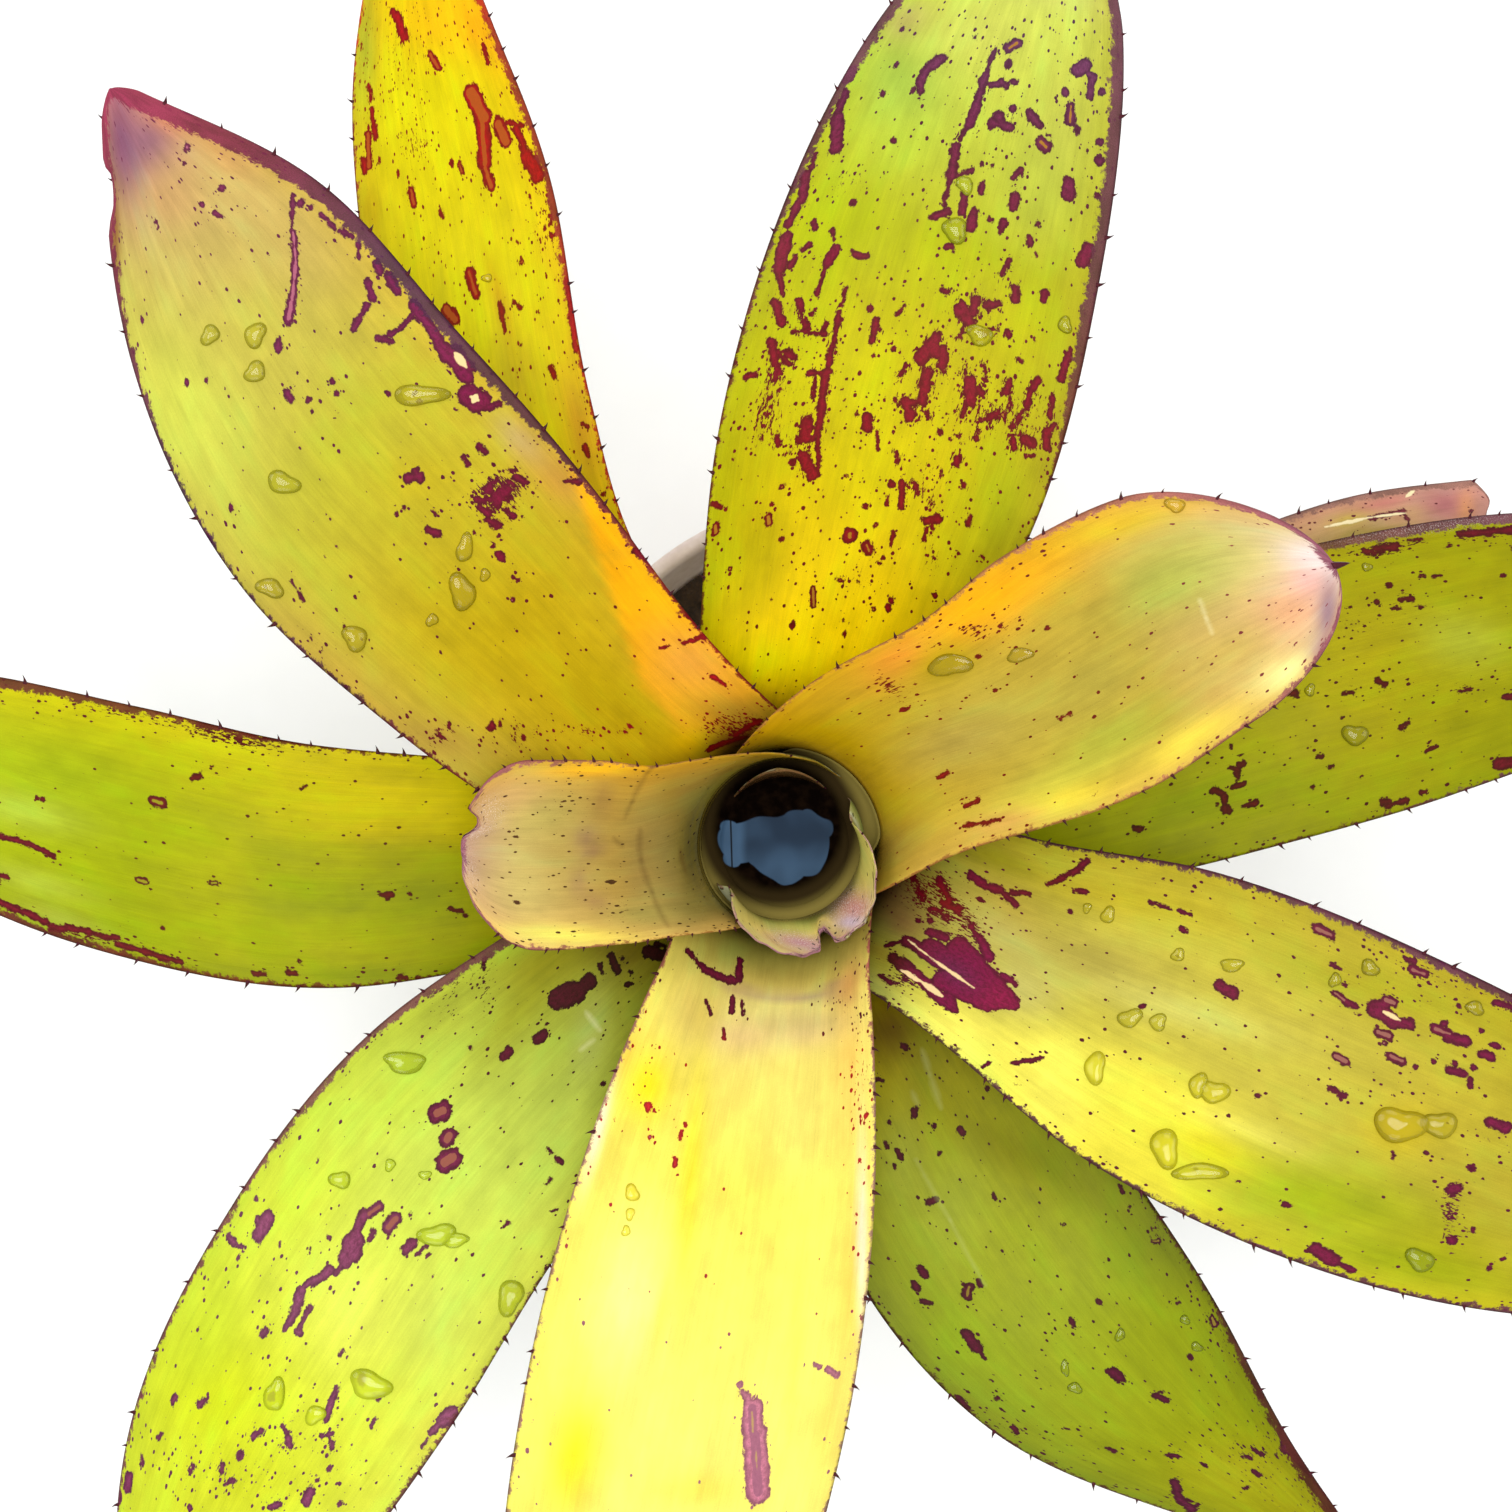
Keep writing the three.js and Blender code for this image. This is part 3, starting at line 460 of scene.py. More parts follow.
     (1393, 1151, 1393, 1158, 1.9), (1495, 1003, 1512, 1008, 3.4)], "core": "#915c50",
     "slitColour": "#dfc08a",
     "slits": [(908, 940, 930, 957, 0.9), (930, 957, 974, 988, 1.7), (901, 970, 922, 982, 2.6),
     (922, 982, 942, 996, 3.4), (1384, 1012, 1400, 1020, 2.4)]},
    {"hues": [(0, "#5e5208"), (0.12, "#7e7818"), (0.25, "#98a032"), (0.4, "#b6c549"), (0.65, "#c9d036"),
     (1, "#bbbe1b")], "sides": ("#aebb2d", "#c2c441"),
     "rim": ([1.2, 2.6, 1.4, 0.9, 0.8], [0.5, 0.5, 0.5, 1.4, 0.8]),
     "rimHues": [(0, "#3f1014"), (0.4, "#6a3a40"), (1, "#6c3040")], "fleck": 0.05,
     # Painted shade: the dark olive patch at 620, 950, where leaf 3 lies over this leaf.
     "patches": [(620, 950, 46, 26, 10, "#564309", 0.8), (540, 965, 60, 26, -20, "#8b7f0d", 0.7),
     (440, 1010, 60, 34, -35, "#96992c", 0.6), (520, 1010, 70, 22, -52, "#8b870d", 0.6),
     (560, 1120, 50, 80, 20, "#abba49", 0.6), (400, 1100, 50, 34, -30, "#b3c030", 0.5),
     (350, 1310, 50, 60, 20, "#d3d650", 0.8), (300, 1200, 60, 34, -40, "#c2cb2c", 0.5),
     (220, 1400, 70, 70, 0, "#c0c90d", 0.8), (250, 1480, 70, 50, 0, "#bcc11b", 0.6),
     (440, 1320, 40, 60, 20, "#b8c350", 0.6), (590, 1035, 16, 40, 10, "#adb365", 0.4),
     (440, 1430, 30, 40, 40, "#cbc545", 0.5), (210, 1330, 26, 60, 20, "#b5c929", 0.5)],
     "fleckZones": [(450, 1005, 16, 34, 0, 0.5), (486, 990, 10, 34, 0, 0.7), (270, 1280, 60, 50, 0, 0.25),
     (230, 1470, 80, 50, 0, 0.35), (300, 1420, 60, 50, 0, 0.25), (340, 1470, 40, 30, 0, 0.3),
     (480, 945, 34, 12, -20, 0.4)],
     "markHues": [(0, "#100404"), (0.15, "#260409"), (0.3, "#45041f"), (0.42, "#581034"), (0.6, "#6c3650"),
     (1, "#631e42")],
     "marks": [(558, 998, 576, 992, 11.5), (576, 992, 590, 981, 7.6), (590, 976, 3.6),
     (537, 1040, 543, 1034, 5.6), (503, 1056, 509, 1051, 5), (600, 966, 602, 972, 3.2),
     (611, 956, 618, 971, 4.6), (622, 959, 3.4), (648, 952, 676, 958, 7.4), (656, 944, 664, 946, 3),
     (626, 985, 632, 983, 2.3), (631, 972, 2.2), (480, 929, 492, 933, 4.6), (484, 959, 484, 966, 2.4),
     (470, 1048, 2.6), (437, 1113, 443, 1111, 9.6, 2.5), (447, 1140, 449, 1136, 8.2, 2.3),
     (445, 1162, 452, 1158, 10.4, 3), (549, 1149, 552, 1153, 2.2), (555, 1158, 562, 1163, 2),
     (547, 1184, 551, 1179, 2.2), (552, 1211, 556, 1209, 1.9), (504, 1227, 508, 1223, 2),
     (369, 1214, 379, 1207, 4.8, 0.9), (388, 1227, 396, 1219, 6.6, 1.7), (370, 1238, 373, 1232, 3.6),
     (406, 1249, 413, 1243, 5.4), (417, 1254, 427, 1246, 2.2), (410, 1215, 2.4), (364, 1214, 357, 1232, 5.4),
     (356, 1240, 346, 1258, 9.4), (350, 1246, 352, 1252, 10.5), (342, 1264, 336, 1274, 3.2),
     (330, 1270, 312, 1282, 4.4), (312, 1281, 303, 1287, 3.6), (302, 1290, 295, 1310, 5.2),
     (296, 1310, 286, 1327, 4.6), (311, 1308, 298, 1330, 3), (296, 1331, 300, 1333, 3.2),
     (268, 1219, 259, 1233, 7.6), (257, 1219, 259, 1224, 3), (257, 1199, 2.5), (229, 1238, 234, 1242, 3.4),
     (234, 1242, 242, 1248, 2), (329, 1237, 3.2), (310, 1249, 2.4), (263, 1333, 266, 1329, 3.2),
     (362, 1377, 362, 1382, 4.2), (343, 1349, 340, 1355, 2), (336, 1388, 332, 1402, 3.4),
     (332, 1402, 326, 1419, 3.6), (378, 1399, 383, 1395, 2.2), (375, 1419, 371, 1426, 2),
     (322, 1436, 331, 1434, 2.4), (330, 1438, 332, 1446, 2.2), (200, 1405, 205, 1400, 3.2),
     (173, 1402, 176, 1397, 2.8), (159, 1438, 161, 1434, 2.6), (130, 1476, 127, 1488, 5),
     (142, 1455, 142, 1464, 2), (253, 1436, 261, 1430, 3), (283, 1426, 286, 1432, 2.6),
     (288, 1439, 290, 1446, 3.8), (222, 1465, 221, 1471, 2.4), (193, 1466, 191, 1472, 2.6),
     (224, 1485, 234, 1480, 2.4), (270, 1507, 280, 1504, 2.8), (311, 1491, 306, 1502, 4.8), (316, 1480, 2.2),
     (190, 1508, 2.6), (453, 1411, 443, 1421, 6.6), (441, 1422, 430, 1434, 3.2), (428, 1438, 422, 1446, 2.4)],
     "core": "#915342",
     "pale": [(586, 1012, 600, 1030, 2), (580, 1050, 594, 1040, 1.2)]},
    # Painted light: the bright yellow at the base, in the hues and the first patch, is light shining through
    # the blade.
    {"hues": [(0, "#ffd900"), (0.15, "#fad000"), (0.35, "#bea401"), (0.6, "#a3a20a"), (0.85, "#bec550"),
     (1, "#c8b584")], "sides": ("#998e15", "#9fa202"),
     "rim": ([0.5, 0.4, 0.5, 3.4, 3.6, 3], [0.4, 0.4, 0.6, 1.3, 2.8, 3]),
     "rimHues": [(0, "#6a3a0c"), (0.4, "#6a2c20"), (0.6, "#542434"), (1, "#66384e")], "fleck": 0.14,
     "patches": [(770, 660, 50, 26, 0, "#e9d700", 0.9), (830, 590, 34, 60, 0, "#d3b700", 0.5),
     (755, 550, 30, 60, 6, "#a59600", 0.7), (950, 550, 40, 50, 20, "#b2b004", 0.5),
     (1000, 500, 30, 60, 14, "#a2b00a", 0.6), (900, 80, 50, 60, -20, "#8fb040", 0.7),
     (900, 140, 60, 30, 0, "#adbe30", 0.4), (1040, 180, 50, 70, 0, "#a9b33b", 0.6),
     (970, 30, 60, 34, 0, "#b8b750", 0.6), (1060, 120, 36, 60, 0, "#b1b149", 0.5),
     (850, 220, 60, 50, 0, "#a5af00", 0.5), (905, 20, 26, 16, -30, "#a5855e", 0.5),
     (925, 260, 60, 30, 10, "#adaf09", 0.4), (1020, 330, 40, 40, 0, "#b5af03", 0.4),
     (880, 480, 60, 50, 0, "#cfc600", 0.5), (860, 380, 60, 60, 0, "#c7c203", 0.5),
     (720, 520, 14, 60, 8, "#9e9800", 0.5)],
     "fleckZones": [(765, 410, 14, 40, 10, 0.9), (930, 390, 90, 70, 0, 0.35), (1020, 420, 50, 40, 0, 0.4),
     (930, 490, 40, 40, 0, 0.4), (980, 300, 50, 50, 0, 0.3), (860, 580, 26, 20, 0, 0.5),
     (1010, 120, 60, 90, 0, 0.2), (850, 180, 34, 20, 10, 0.5), (800, 330, 40, 60, 0, 0.3),
     (935, 560, 16, 20, 0, 0.5), (800, 440, 26, 50, 0, 0.4)],
     "markHues": [(0, "#650407"), (0.3, "#6e0410"), (0.5, "#65041f"), (0.7, "#561331"), (0.85, "#542c49"),
     (1, "#714662")],
     "marks": [(941, 58, 931, 66, 5.4), (929, 67, 921, 82, 4.8), (921, 82, 921, 90, 4.6),
     (1009, 48, 1017, 43, 5.4, 0.8), (995, 50, 985, 74, 2.4), (985, 74, 977, 104, 4),
     (977, 104, 969, 124, 5.2), (967, 128, 960, 140, 2), (956, 146, 951, 176, 4.8), (950, 180, 944, 204, 2.8),
     (948, 212, 936, 216, 3.8), (958, 176, 973, 170, 2.4), (990, 85, 998, 84, 3.2), (1002, 82, 1006, 86, 4),
     (1014, 82, 3.8), (999, 117, 1001, 124, 5.4), (993, 123, 1010, 127, 4.8), (1013, 108, 3.2),
     (1030, 114, 1038, 124, 4.8), (1041, 142, 1046, 147, 5.8, 0.8), (1049, 135, 2.6),
     (1078, 70, 1085, 65, 7.2), (1089, 74, 1094, 78, 3.6), (1092, 80, 1090, 96, 4), (1102, 92, 4),
     (1071, 106, 1070, 122, 5, 0.8), (1065, 92, 4.2), (1069, 184, 1068, 195, 7), (1100, 142, 4.6),
     (1100, 161, 5), (1098, 195, 3.6), (1015, 197, 1013, 207, 5.4), (1013, 178, 1021, 170, 2.5),
     (982, 184, 981, 192, 3.2), (964, 196, 962, 212, 4.4), (974, 212, 971, 227, 5.2),
     (944, 214, 949, 220, 2.2), (930, 218, 2.2), (1004, 222, 1000, 232, 3.4), (990, 220, 2.6), (1038, 224, 3),
     (1030, 238, 1030, 242, 3.4), (1045, 292, 1044, 299, 3.8), (1015, 289, 1015, 299, 5),
     (1009, 260, 1001, 274, 2.8), (945, 247, 952, 246, 2.8), (960, 308, 969, 322, 7),
     (974, 300, 974, 312, 5.6), (985, 306, 998, 304, 3), (966, 322, 960, 336, 2.4), (1009, 334, 3.8),
     (983, 334, 994, 330, 2.2), (942, 290, 948, 292, 2.6), (904, 306, 896, 316, 2), (876, 320, 873, 341, 3.8),
     (880, 330, 2.4), (855, 254, 867, 257, 3.2), (832, 230, 834, 240, 2.4), (836, 248, 828, 262, 5.4),
     (826, 266, 817, 294, 2.2), (845, 288, 842, 306, 2), (839, 312, 834, 346, 3), (814, 222, 815, 228, 3.2),
     (803, 250, 809, 244, 3.6), (838, 118, 836, 148, 6.4), (852, 70, 848, 80, 4.6), (846, 92, 838, 112, 4),
     (816, 154, 812, 166, 3), (805, 176, 802, 200, 5), (799, 200, 789, 224, 4.2), (786, 238, 779, 268, 7),
     (779, 272, 782, 294, 3), (790, 266, 795, 256, 3), (775, 302, 782, 324, 4.6), (799, 300, 805, 326, 3.2),
     (793, 331, 824, 334, 2.8), (811, 314, 2.6), (822, 330, 826, 324, 2.6), (771, 342, 777, 374, 4.4),
     (778, 352, 790, 364, 3.4), (783, 352, 792, 358, 4), (746, 377, 755, 375, 3.4), (776, 436, 778, 444, 2.6),
     (832, 344, 829, 364, 3.4), (811, 373, 829, 372, 3.4), (815, 376, 813, 396, 2.8),
     (826, 372, 822, 402, 4.6), (823, 402, 818, 428, 4.2), (808, 422, 806, 440, 6.2), (812, 440, 818, 430, 3),
     (818, 430, 818, 476, 2.6), (804, 456, 813, 474, 6.4), (867, 416, 867, 428, 5.2), (878, 432, 878, 450, 2),
     (896, 452, 898, 462, 2), (906, 366, 900, 376, 3), (894, 348, 2.8), (936, 338, 921, 358, 6.6),
     (931, 346, 937, 352, 8), (942, 348, 942, 366, 5), (928, 372, 922, 400, 5.4), (905, 402, 910, 416, 6),
     (908, 404, 922, 399, 4.4), (924, 412, 928, 418, 2.4), (965, 370, 966, 392, 2.8),
     (970, 384, 971, 400, 7.4), (966, 400, 962, 416, 3.4), (978, 388, 982, 394, 3.2),
     (984, 366, 986, 376, 2.4), (1009, 384, 1006, 391, 4.4), (1009, 405, 1003, 415, 2.8, 0.5),
     (998, 412, 988, 419, 3.2), (1019, 359, 1021, 361, 3), (1039, 380, 1034, 388, 3.6),
     (1031, 392, 1026, 404, 2.8), (1021, 412, 1015, 425, 2.8), (1013, 438, 1014, 448, 3),
     (1023, 440, 1032, 444, 5), (1047, 434, 1046, 446, 5.2), (1053, 398, 1050, 416, 3.2),
     (1070, 350, 1061, 378, 4), (1050, 430, 1056, 424, 2.4), (978, 430, 976, 438, 2.3), (957, 436, 2.6),
     (957, 457, 956, 463, 3.2), (981, 420, 2.4), (1026, 456, 1034, 455, 2.2), (902, 482, 901, 506, 3.2),
     (892, 484, 3.2), (913, 483, 918, 492, 2.6), (888, 496, 887, 504, 2), (845, 476, 2.6),
     (782, 487, 2.6, 0.5), (787, 453, 2.3), (794, 463, 2.6), (850, 534, 850, 537, 7.4, 1.1),
     (867, 545, 869, 551, 5.4, 0.7), (876, 525, 2.8, 0.5), (768, 517, 769, 523, 4.3, 1.2),
     (715, 526, 716, 532, 4.6, 1), (713, 503, 722, 508, 2.4), (708, 524, 2.4), (700, 546, 701, 556, 2),
     (730, 569, 2.6, 0.5), (880, 563, 2.2), (840, 580, 3.4, 0.5), (813, 588, 814, 606, 2.8, 0.5),
     (888, 608, 4.6), (891, 601, 2.6), (873, 609, 2.6, 0.5), (843, 620, 2.9, 0.5), (970, 518, 968, 523, 3.8),
     (964, 485, 2.3), (941, 472, 2.1), (927, 528, 924, 540, 2), (932, 504, 2.1), (893, 531, 891, 546, 1.9),
     (865, 507, 3), (958, 554, 2.2), (982, 557, 2.2), (935, 596, 2.6), (883, 93, 2.9), (894, 141, 2.8),
     (975, 38, 2.4), (993, 165, 2.4), (982, 164, 2.4), (926, 521, 938, 520, 4.2), (932, 524, 933, 529, 2.6),
     (1088, 250, 1082, 262, 7)], "core": "#a57417"},
    {"hues": [(0, "#704c0c"), (0.12, "#957f06"), (0.3, "#8d8d14"), (0.5, "#889219"), (0.75, "#868b03"),
     (1, "#9c8812")], "sides": ("#667019", "#5c6206"),
     "rim": ([0.4, 0.5, 0.7, 0.7, 0.7], [0.3, 0.4, 0.6, 1, 3, 3.6]),
     "rimHues": [(0, "#3a1c10"), (0.5, "#44241c"), (1, "#481016")], "fleck": 0.07,
     # Painted shade: the dark brown patch at 890, 1030, where leaves 5 and 7 lie over this leaf.
     "patches": [(890, 1030, 36, 30, 20, "#482806", 0.8), (930, 1060, 26, 50, 15, "#75731b", 0.5),
     (950, 1210, 40, 60, 10, "#949e2c", 0.7), (900, 1160, 26, 50, 0, "#8c9434", 0.5),
     (1010, 1150, 60, 26, 40, "#736d00", 0.7), (1060, 1170, 60, 16, 40, "#666806", 0.6),
     (960, 1340, 50, 34, 30, "#859a0d", 0.5), (1040, 1260, 50, 50, 0, "#8e941b", 0.4),
     (1150, 1330, 60, 50, 0, "#868f01", 0.5), (1160, 1240, 26, 34, 30, "#68710e", 0.5),
     (1230, 1470, 60, 30, 0, "#9f9417", 0.5)],
     "fleckZones": [(1160, 1230, 20, 20, 0, 0.4), (1215, 1340, 26, 60, -20, 0.3),
     (1070, 1330, 30, 20, 0, 0.3), (1250, 1450, 60, 30, 0, 0.3), (1000, 1410, 40, 20, 20, 0.3),
     (1060, 1440, 60, 14, 20, 0.3)],
     "markHues": [(0, "#37040c"), (0.3, "#41041f"), (0.6, "#410422"), (1, "#4d192f")],
     "marks": [(903, 1046, 906, 1048, 3.4), (915, 1111, 915, 1114, 4.2), (890, 1122, 2.2), (935, 1126, 2.4),
     (960, 1129, 962, 1133, 3.6), (940, 1154, 2.9), (898, 1151, 901, 1157, 3.4), (885, 1142, 887, 1147, 2.4),
     (893, 1164, 895, 1168, 1.9), (876, 1079, 883, 1081, 2.2), (929, 1202, 935, 1200, 3.6),
     (993, 1192, 995, 1198, 2.1), (1064, 1224, 2.2, 0.5), (921, 1268, 925, 1275, 4.6),
     (914, 1283, 917, 1290, 3.3), (923, 1301, 930, 1302, 3), (963, 1284, 2.5),
     (969, 1287, 967, 1296, 4.8, 0.8), (978, 1280, 981, 1286, 2.5), (967, 1334, 977, 1348, 5.8),
     (977, 1348, 985, 1359, 2.4), (1071, 1320, 1073, 1325, 2.8), (1112, 1371, 1120, 1379, 5.2),
     (1156, 1396, 1166, 1400, 4), (1162, 1392, 2.6), (1130, 1207, 2.1), (1153, 1241, 1158, 1241, 2.4, 0.5),
     (1119, 1186, 1122, 1192, 2.6), (1179, 1302, 2.4), (1212, 1318, 1215, 1324, 3.3, 0.7),
     (1256, 1368, 1266, 1384, 3.6), (1253, 1382, 1262, 1396, 2.4), (1107, 1448, 1114, 1451, 2),
     (1168, 1455, 1176, 1456, 2.5), (1244, 1456, 1250, 1458, 2.2), (1254, 1450, 1263, 1454, 2.4),
     (1254, 1471, 1259, 1475, 2.6), (1246, 1488, 2.5), (1197, 1505, 2.2), (1285, 1426, 1288, 1448, 6.6),
     (1290, 1448, 1312, 1472, 6), (1296, 1436, 1304, 1450, 5), (1318, 1478, 1345, 1508, 5),
     (1174, 1482, 1180, 1500, 4), (1180, 1500, 1192, 1510, 4.2), (937, 1368, 2.6), (998, 1398, 2.6),
     (1013, 1428, 1017, 1432, 2.6), (904, 1348, 912, 1358, 2.6), (959, 1398, 966, 1408, 3)],
     "core": "#857325", "slitColour": "#d18f45",
     "slits": [(1296, 1441, 1303, 1452, 2.4), (1341, 1501, 1347, 1508, 1.8)], "paleColour": "#abae6c",
     "pale": [(922, 1050, 930, 1075, 2.6), (930, 1075, 941, 1108, 2.6), (912, 1092, 918, 1104, 1.8),
     (916, 1160, 950, 1220, 0.8), (950, 1220, 985, 1285, 0.7)]},
    {"hues": [(0, "#ab9100"), (0.15, "#b3a500"), (0.35, "#b09f00"), (0.6, "#929a00"), (0.8, "#a2ae0f"),
     (1, "#a2ae2e")], "sides": ("#c8b500", "#7e8804"),
     "rim": ([0.3, 0.4, 1, 2.8, 2.6], [0.3, 0.4, 1.1, 2, 1.6]),
     "rimHues": [(0, "#561c0c"), (0.5, "#5e2416"), (0.75, "#5c1f22"), (1, "#6a3c48")], "fleck": 0.035,
     "patches": [(390, 800, 90, 26, 2, "#c9b500", 0.85), (250, 745, 60, 16, 8, "#c0b500", 0.7),
     (330, 900, 110, 30, 0, "#848e00", 0.8), (430, 900, 50, 40, 0, "#7a830b", 0.6),
     (200, 830, 90, 34, 0, "#929c00", 0.4), (50, 780, 70, 40, 0, "#94a70f", 0.5),
     (20, 810, 60, 16, 14, "#abb83e", 0.6), (30, 880, 60, 12, 16, "#abb53e", 0.5),
     (360, 975, 60, 10, 0, "#6c7c05", 0.6), (60, 920, 50, 12, 20, "#a1a33e", 0.5)],
     # Painted shade: the blade is darker green below this line.
     "paintedLightAndShade": [(250, 838, 500, 846, 10, 240, "#848e00", 0.5)],
     "fleckZones": [(230, 738, 60, 10, 12, 0.9), (110, 712, 60, 8, 8, 0.5), (80, 935, 60, 8, 8, 0.6),
     (210, 772, 26, 12, 0, 0.4)],
     "markHues": [(0, "#470409"), (0.5, "#540410"), (0.8, "#610c21"), (1, "#61252b")],
     "marks": [(154, 801, 161, 803, 5.2, 1.1), (138, 880, 146, 882, 3.2, 0.8), (212, 883, 216, 883, 3, 0.7),
     (382, 895, 391, 894, 3.4), (387, 899, 2.6), (410, 894, 2.4), (450, 909, 2.8), (454, 911, 462, 911, 2.8),
     (43, 800, 2.1), (163, 928, 2.2), (192, 779, 200, 776, 2.8), (302, 789, 306, 786, 2.4),
     (470, 808, 478, 808, 2.8), (0, 836, 30, 844, 3), (30, 844, 54, 856, 3.2), (0, 876, 7, 877, 2.6),
     (0, 902, 46, 922, 4), (50, 926, 90, 932, 3.4), (86, 934, 118, 938, 3), (118, 944, 180, 962, 3.4),
     (255, 973, 264, 974, 2.8), (289, 973, 295, 973, 3.4), (300, 962, 2.8, 0.6), (399, 977, 406, 977, 2.9),
     (418, 978, 2.2), (200, 722, 236, 730, 3), (234, 728, 256, 734, 3.6), (256, 737, 310, 742, 2),
     (240, 738, 2.6)], "core": "#929119"},
    {"hues": [(0, "#858e00"), (0.3, "#9d9e00"), (0.55, "#988e00"), (0.8, "#898b00"), (1, "#828b0f")],
     "sides": ("#7e8300", "#877e00"), "rim": ([0.4, 0.4, 0.6, 0.6, 0.6], [0.4, 0.6, 1.2, 2.8, 2.8, 2.4]),
     "rimHues": [(0, "#3a260e"), (0.5, "#5c3420"), (0.7, "#5e3040"), (1, "#6c4450")], "fleck": 0.08,
     "scurfZones": [(1420, 528, 110, 5, -8, 0.5)],
     # Painted highlight: the pale lime patch at 1462, 640.
     "patches": [(1350, 680, 60, 60, 0, "#a39600", 0.6), (1462, 640, 46, 26, 10, "#a3a92d", 0.7),
     (1470, 580, 50, 26, 0, "#8f8800", 0.5), (1180, 810, 60, 26, -20, "#7a8400", 0.7),
     (1280, 790, 60, 30, -10, "#858c00", 0.5), (1480, 740, 50, 34, 0, "#858400", 0.5),
     (1380, 640, 40, 26, 0, "#a39401", 0.5)],
     "fleckZones": [(1350, 625, 26, 14, 0, 0.5), (1400, 600, 40, 26, 0, 0.25), (1360, 690, 40, 16, 0, 0.3),
     (1450, 690, 50, 14, -10, 0.3), (1380, 550, 40, 6, -8, 0.8), (1480, 540, 40, 12, 0, 0.4)],
     "markHues": [(0, "#450409"), (0.5, "#47040c"), (1, "#56041f")],
     "marks": [(1376, 602, 2.9), (1400, 599, 1412, 598, 2.4), (1394, 609, 1400, 609, 2.3),
     (1420, 607, 1425, 605, 2.3), (1420, 575, 1424, 575, 2.6), (1433, 576, 1441, 575, 1.9),
     (1292, 693, 1295, 693, 4), (1344, 694, 1352, 693, 2.4), (1378, 681, 1385, 684, 3.4),
     (1459, 691, 1470, 689, 2.2), (1504, 697, 1512, 696, 3.2), (1401, 727, 1408, 722, 2.5),
     (1426, 751, 1437, 746, 2.3), (1318, 756, 1322, 756, 2.4), (1330, 767, 1333, 766, 2.4), (1313, 787, 2.3),
     (1498, 764, 1512, 762, 5.8), (1382, 802, 1390, 801, 3.2), (1388, 806, 1406, 800, 3.2),
     (1421, 793, 1425, 792, 2.4), (1342, 718, 2.2), (1230, 768, 1238, 770, 3), (1240, 765, 1243, 764, 4),
     (1236, 772, 1238, 778, 3.2), (1213, 790, 1222, 793, 3.6), (1224, 796, 1225, 810, 3.8),
     (1228, 806, 1230, 812, 2.6), (1232, 788, 1243, 784, 3), (1245, 805, 1256, 803, 3.2), (1218, 804, 2.4),
     (1231, 746, 2.4), (1134, 829, 1141, 829, 3.2), (1275, 697, 2.4), (1368, 552, 1396, 546, 4.4),
     (1408, 540, 1422, 539, 2.2), (1449, 546, 2.4), (1460, 534, 1512, 530, 3.8)], "core": "#938a00"},
    {"hues": [(0, "#dcb201"), (0.3, "#e3c801"), (0.5, "#cfc200"), (0.75, "#cebd00"), (1, "#dba701")],
     "sides": ("#d1a301", "#b49614"), "rim": ([0.6, 0.6, 0.8, 2, 1.9, 2.4], [0.3, 0.4, 0.4, 0.6, 0.6]),
     "rimHues": [(0, "#9c1010"), (0.45, "#a01018"), (0.6, "#7a1c20"), (0.78, "#8a2420"), (0.86, "#c00c14"),
     (1, "#c81c0c")], "fleck": 0.14,
     # Painted light: the orange patches at the top are light shining through the blade.
     "patches": [(365, 50, 12, 60, 0, "#9ba126", 0.8), (440, 20, 40, 34, 0, "#e8ad03", 0.7),
     (480, 30, 20, 40, -30, "#e89405", 0.6), (400, 120, 40, 50, 0, "#d1c800", 0.5),
     (500, 300, 8, 50, -14, "#c28603", 0.6), (580, 430, 14, 50, -14, "#ba7315", 0.6),
     (370, 215, 12, 26, 0, "#b28e00", 0.5), (520, 380, 26, 40, -20, "#a3860b", 0.5),
     (470, 180, 40, 60, 0, "#d1bc00", 0.4)],
     "fleckZones": [(415, 145, 20, 26, 0, 0.6), (400, 60, 30, 40, 0, 0.4), (420, 240, 30, 20, 0, 0.3),
     (540, 230, 20, 60, 0, 0.4)],
     "markHues": [(0, "#730404"), (0.5, "#7c0404"), (0.8, "#850410"), (1, "#730417")],
     "marks": [(397, 15, 404, 38, 4.6), (393, 12, 398, 20, 4), (430, 54, 438, 68, 3.6, 0.8),
     (369, 86, 371, 100, 2.4), (372, 110, 376, 138, 2.6), (368, 134, 369, 166, 3.6, 1.1),
     (364, 160, 365, 172, 3.4), (411, 190, 414, 204, 4, 0.7), (441, 211, 443, 218, 2.3),
     (471, 92, 484, 118, 8.6, 3), (482, 120, 485, 164, 7.4, 1.4), (485, 168, 491, 186, 5, 1.2),
     (498, 124, 506, 142, 6.6, 2.4), (508, 122, 522, 126, 2.8), (516, 128, 528, 158, 3.8),
     (527, 156, 538, 176, 6.8), (483, 44, 488, 62, 2.4), (459, 163, 462, 172, 2.6, 0.5),
     (469, 272, 476, 294, 5, 0.8), (446, 309, 455, 320, 5.4, 1.9), (500, 302, 502, 314, 2.4),
     (502, 318, 505, 330, 2.6), (515, 302, 520, 308, 3), (522, 262, 2.8, 0.7), (551, 216, 551, 224, 1.9),
     (552, 236, 2.6), (521, 345, 2.3), (550, 367, 554, 377, 2.9), (585, 446, 588, 456, 3),
     (583, 424, 588, 427, 2), (568, 280, 576, 350, 3), (603, 494, 3)], "core": "#a34d15"},
    {"hues": [(0, "#84790d"), (0.6, "#a9932a"), (0.8, "#c09c62"), (1, "#c08c80")],
     "sides": ("#968322", "#b87d70"), "rim": ([0.5, 0.8, 1], [0.8, 1.2, 2.2]),
     "rimHues": [(0, "#6b4f49"), (1, "#8e6459")], "fleck": 0.1,
     "patches": [(1350, 520, 22, 8, -10, "#b19834", 0.8), (1385, 503, 26, 6, -10, "#c0736c", 0.8),
